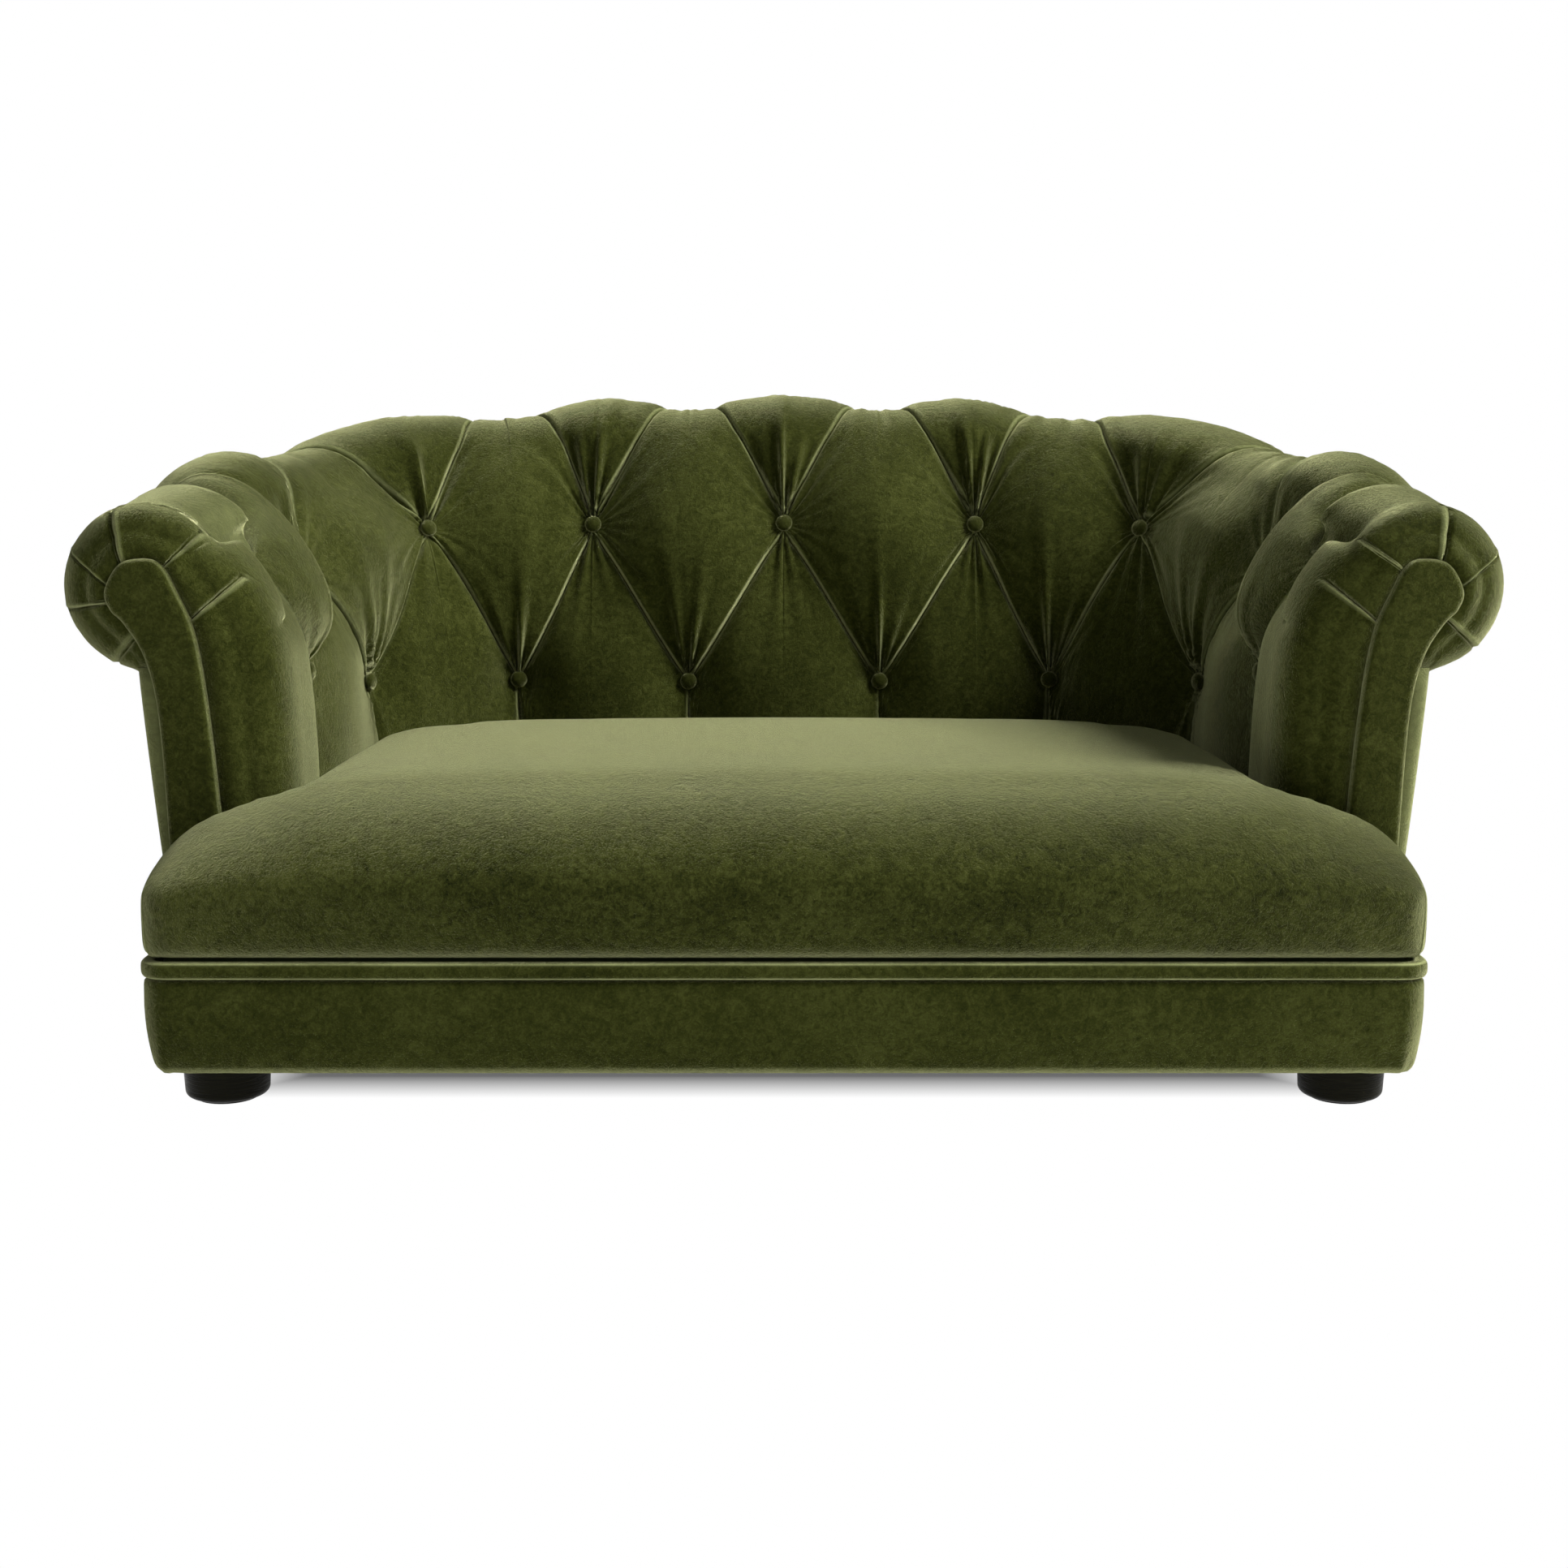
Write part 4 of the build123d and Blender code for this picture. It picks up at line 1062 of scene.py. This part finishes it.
def outside_panel(name, first, last, front_edges):
    """A bent sheet between two columns; its edges that show are rounded over."""
    count = int(abs(last - first) * panel_spacing)
    closing, opening = (panel_turn if edge else () for edge in front_edges)
    rows = [(first, *turned) for turned in reversed(closing)]
    rows += [(first + (last - first) * index / count, 0.0, 0.0) for index in range(count + 1)]
    rows += [(last, *turned) for turned in opening]
    points = []
    for column, forward, inset in rows:
        x, y, out_x, out_y = station(column)
        top = section_point(level_knots(column), TACK, 0.0)[1] + 0.003
        for step in range(panel_rows + 1):
            up = step / panel_rows
            height = mix(wall_foot, top, up)
            belly = panel_face * math.sin(math.pi * up) ** 0.6
            out = panel_out(height) - panel_face + belly - inset
            points.append((x + out_x * out, y + out_y * out + forward, height))
    faces = around(len(rows), panel_rows + 1, closed=False)
    return thickened(mesh_piece(name, points, faces, velvet), panel_thickness, -1.0)


edge_margin = 0.0123
front_margin_column = front_column - edge_margin / column_size(front_column - 0.5)
panels = {
    "outside_back_panel": ("outside_back", -join_column + 0.003, join_column - 0.003, (False, False)),
    "left_outside_arm_panel": ("left_outside_arm", -front_margin_column, -join_column - 0.003, (True, False)),
    "right_outside_arm_panel": ("right_outside_arm", join_column + 0.003, front_margin_column, (False, True)),
}
for name, (node, first, last, edges) in panels.items():
    piece = outside_panel(name, first, last, edges)
    # painted sheen: the arm panels' strip round the front edge is painted paler
    painted_sheen_front = arm_front + edge_margin + 0.002
    marked(piece, [0.34 if vertex.co.y < painted_sheen_front else 0.0 for vertex in piece.data.vertices])
    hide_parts(node)
    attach(piece, "sofa")


# Platform pad: thin wadding under plain cloth on the deck, T-shaped in front of and between the
# arms. It shows only when the cushion is lifted out.
pad_low, pad_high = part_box("deck_pad")
pad_inset, pad_out, pad_corner_out = 0.0138, 0.043, 0.183


def platform_cloth(shade):
    place = shade.place()
    across = shade.node("TexWave", {"bands_direction": "X"}, {"Vector": place, "Scale": 320.0})
    along = shade.node("TexWave", {"bands_direction": "Y"}, {"Vector": place, "Scale": 320.0})
    weave = across * 0.5 + along * 0.5
    slub = shade.noise(place, 90.0, 4.0)
    return {
        "Base Color": (weave * 0.5 + slub * 0.5).mixed((0.028, 0.036, 0.010), (0.085, 0.10, 0.035)),
        "Normal": shade.bump(weave, 0.0004),
    }


def pad_plan():
    half, front_half = half_tub + pad_out, half_base - pad_inset
    front, radius = base_front + pad_inset, front_corner - pad_inset
    step_y = arm_front - facing_gap
    right = []

    def arc(x, y, radius, start, count):
        for index in range(count + 1):
            angle = math.radians(start + 90 * index / count)
            right.append(Vector((x + radius * math.cos(angle), y + radius * math.sin(angle))))

    arc(front_half - radius, front + radius, radius, -90, 4)
    arc(front_half - 0.004, step_y - 0.004, 0.004, 0, 4)
    right.append(Vector((half, step_y)))
    arc(half - pad_corner_out, pad_high.y - pad_corner_out, pad_corner_out, 0, 20)
    return [Vector((0, front)), *right, *(Vector((-point.x, point.y)) for point in reversed(right))]


deck_pad = rounded_panel(
    "platform_pad", pad_plan(), 0, lambda flat, rise: (flat.x, flat.y, pad_low.z + rise),
    ((0.0, 0.0), (0.0, 0.55), (0.0006, 0.85), (0.0022, 1.0)), pad_high.z - pad_low.z,
    finish("platform_cloth", platform_cloth, Roughness=0.9, Sheen_Weight=0.05, Specular_IOR_Level=0.05),
)
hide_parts("deck_pad")
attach(deck_pad, "sofa")


# Seat cushion: one crowned T-shaped block of foam in a velvet cover that is boxed at the front
# corners. It fills the tub, and its two ears run in front of the arms to the full width.
cushion_low, cushion_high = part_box("seat_cushion_cover")
cushion_edge, cushion_crown, cushion_rear_fall = 0.044, 0.120, 0.012
ear_depth = arm_setback - 0.008 - 0.0015
cushion_gap, cushion_corner = 0.003, 0.137
cushion_rear, ear_line = back_y - cushion_gap, base_front + ear_depth
front_run, dome_start, dome_rise, rear_sag = 0.090, 0.060, 0.003, 0.008
side_draw, side_draw_run, ear_shoulder = 0.005, 0.10, 0.335
start_inset = 0.0030
voxel, pressure, sim_frames, swell_cap = 0.006, 4.0, 20, 0.007
held_height, free_height = 0.012, 0.042


def rise_at(y):
    """Share of the crown's rise over the front edge at a depth."""
    return (1 - (1 - clamped((y - base_front) / front_run)) ** 2.4) ** 0.72


def cushion_half(y):
    """Half the cushion's width at a depth, in front of and between the arms."""
    if y < ear_line:
        corner = min((y - base_front) / front_corner, 1.0)
        return half_base - front_corner * (1 - math.sqrt(max(1 - (1 - corner) ** 2, 0.0))) * 0.8
    into, half = y - (cushion_rear - cushion_corner), half_tub - cushion_gap
    if into <= 0:
        return half
    return half - cushion_corner + math.sqrt(max(cushion_corner ** 2 - min(into, cushion_corner) ** 2, 0.0))


def cushion_top(x, y, bottom):
    """Height of the cushion's top over a plan point."""
    near = clamped((cushion_rear - y) / 0.045)
    top = mix(cushion_edge, cushion_crown, rise_at(y)) - cushion_rear_fall * (1 - near) ** 2
    into = clamped((y - base_front - dome_start) / (tub_depth - dome_start))
    dome = dome_rise * math.sin(math.pi * into)
    crown_fall = 0.002 + dome
    top += dome - rear_sag * into ** 2
    ears = y < ear_line
    half = cushion_half(y)
    share = min(abs(x) / max(half, 1e-4), 1.0)
    if ears:
        shoulder, edge = ear_shoulder / half_base, cushion_edge
    else:
        shoulder = (half - 0.020) / half
        edge = top - crown_fall - side_draw * min((y - ear_line) / side_draw_run, 1.0)
    if share <= shoulder:
        return bottom + top - crown_fall * (share / shoulder) ** 2
    u = (share - shoulder) / (1 - shoulder)
    if ears:
        rest = 0.532 * math.sqrt(max(1 - u ** 5, 0.0)) + 0.468 * (1 - u)
    else:
        rest = math.sqrt(max(1 - u ** 2.3, 0.0))
    return bottom + mix(edge, top - crown_fall, rest)


def cushion_block():
    """The cushion before it is filled: a closed form from sections across its depth."""
    bottom = cushion_low.z
    front, rear, ear_end = base_front + start_inset, cushion_rear - start_inset, ear_line - start_inset
    ears, tub, across = 16, 40, 48
    depths = [mix(front, ear_end, (step / ears) ** 1.4) for step in range(ears + 1)] + [ear_end + 0.0005]
    depths += [mix(ear_end, rear, math.sin(math.pi / 2 * step / tub)) for step in range(1, tub + 1)]
    points = []
    for index, y in enumerate(depths):
        sample = max(y, ear_line + 1e-4) if index > ears else y
        half = cushion_half(sample) - start_inset
        spread = [half * math.sin(math.pi * (step / across - 0.5)) for step in range(across + 1)]
        points += [(x, y, cushion_top(x, sample, bottom) - start_inset) for x in spread]
        points += [(x, y, bottom + start_inset * 0.3) for x in reversed(spread)]
    return mesh_piece("seat_cushion", points, tube(len(depths), 2 * (across + 1)), seat_velvet)


def applied(piece, kind, **settings):
    """Add a modifier and make its result the piece's own mesh."""
    modifier = piece.modifiers.new(kind.lower(), kind)
    for key, value in settings.items():
        setattr(modifier, key, value)
    bpy.context.view_layer.objects.active = piece
    bpy.ops.object.modifier_apply(modifier=modifier.name)


def fill_cushion(piece):
    """Blow the cover up like a filled cushion, then keep each point within reach of its start."""
    start = [(vertex.co.copy(), vertex.normal.copy()) for vertex in piece.data.vertices]
    held = piece.vertex_groups.new(name="held")
    for vertex in piece.data.vertices:
        rise = vertex.co.z - cushion_low.z
        share = 1 - clamped((rise - held_height) / (free_height - held_height))
        held.add([vertex.index], share, "REPLACE")
    cloth = piece.modifiers.new("fill", "CLOTH")
    cloth.settings.vertex_group_mass = "held"
    cloth.settings.use_pressure = True
    cloth.settings.uniform_pressure_force = pressure
    cloth.settings.effector_weights.gravity = 0.0
    cloth.settings.tension_stiffness, cloth.settings.bending_stiffness = 12.0, 0.6
    cloth.point_cache.frame_start, cloth.point_cache.frame_end = 1, sim_frames
    for number in range(1, sim_frames + 1):
        bpy.context.scene.frame_set(number)
    filled = piece.evaluated_get(bpy.context.evaluated_depsgraph_get())
    moved = [vertex.co.copy() for vertex in filled.data.vertices]
    piece.modifiers.clear()
    piece.vertex_groups.clear()
    bpy.context.scene.frame_set(1)
    for vertex, (was, normal), now in zip(piece.data.vertices, start, moved):
        swell = 1 - math.exp(-max((now - was).dot(normal), 0.0) / swell_cap)
        vertex.co = was + normal * (start_inset + (swell_cap - start_inset) * swell)


def settle_cushion(piece):
    """Rest the cushion on the platform pad, between the arms and behind its own front line."""
    rear = back_y - 0.0015
    for vertex in piece.data.vertices:
        place = vertex.co
        place.z = max(place.z, cushion_low.z + 0.0002)
        place.y = min(max(place.y, base_front + 0.0002), rear)
        half = half_base if place.y < ear_line + 0.002 else half_tub + 0.001
        place.x = min(max(place.x, -half), half)
    piece.data.update()


cushion = cushion_block()
applied(cushion, "REMESH", mode="VOXEL", voxel_size=voxel, use_smooth_shade=True)
fill_cushion(cushion)
settle_cushion(cushion)
applied(cushion, "SMOOTH", factor=0.5, iterations=7)
softened = cushion.modifiers.new("softened", "SUBSURF")
softened.levels = softened.render_levels = 1
marked(cushion, [0.0] * len(cushion.data.vertices))
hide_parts("seat_cushion_cover", "seat_cushion_foam")
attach(cushion, "cushion")


# Corner seams: where the cushion's front panel is sewn to its sides, a narrow flat-felled seam
# climbs each front corner and dies out on the shoulder.
seam_radius, seam_steps, seam_sides, seam_height, seam_highlight = 0.0013, 40, 8, 0.058, 0.5


def corner_seam(side):
    tree = BVHTree.FromObject(cushion, bpy.context.evaluated_depsgraph_get())
    corner_x, corner_y = half_base - 0.006, base_front + 0.006
    spine = []
    for step in range(seam_steps + 1):
        share = step / seam_steps
        height = cushion_low.z + 0.001 + seam_height * share
        back, inwards = 0.020 * share ** 2.5, 0.010 * share ** 3
        start = Vector((side * (corner_x + 0.05 - inwards), corner_y - 0.05 + back, height))
        target = Vector((side * (corner_x - 0.03 - inwards), corner_y + 0.03 + back, height - 0.004 * share))
        hit, normal, _, _ = tree.ray_cast(start, (target - start).normalized())
        if hit is not None:
            spine.append((hit, normal, 1 - 0.6 * share ** 3))
    points = []
    for index, (spot, normal, size) in enumerate(spine):
        run = (spine[min(index + 1, len(spine) - 1)][0] - spine[max(index - 1, 0)][0]).normalized()
        across = run.cross(normal).normalized()
        for step in range(seam_sides):
            turn = 2 * math.pi * step / seam_sides
            points.append(spot + (normal * math.cos(turn) * 0.7 + across * math.sin(turn)) * seam_radius * size)
    name = ("left" if side < 0 else "right") + "_corner_seam"
    piece = mesh_piece(name, points, tube(len(spine), seam_sides), seat_velvet)
    # painted highlight: the whole seam is painted paler
    return marked(piece, [seam_highlight] * len(points))


for side in (-1, 1):
    seam = corner_seam(side)
    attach(seam, "cushion")


low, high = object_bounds()
{"cad": [list(cad_low), list(cad_high)], "scene": [list(low), list(high)]}
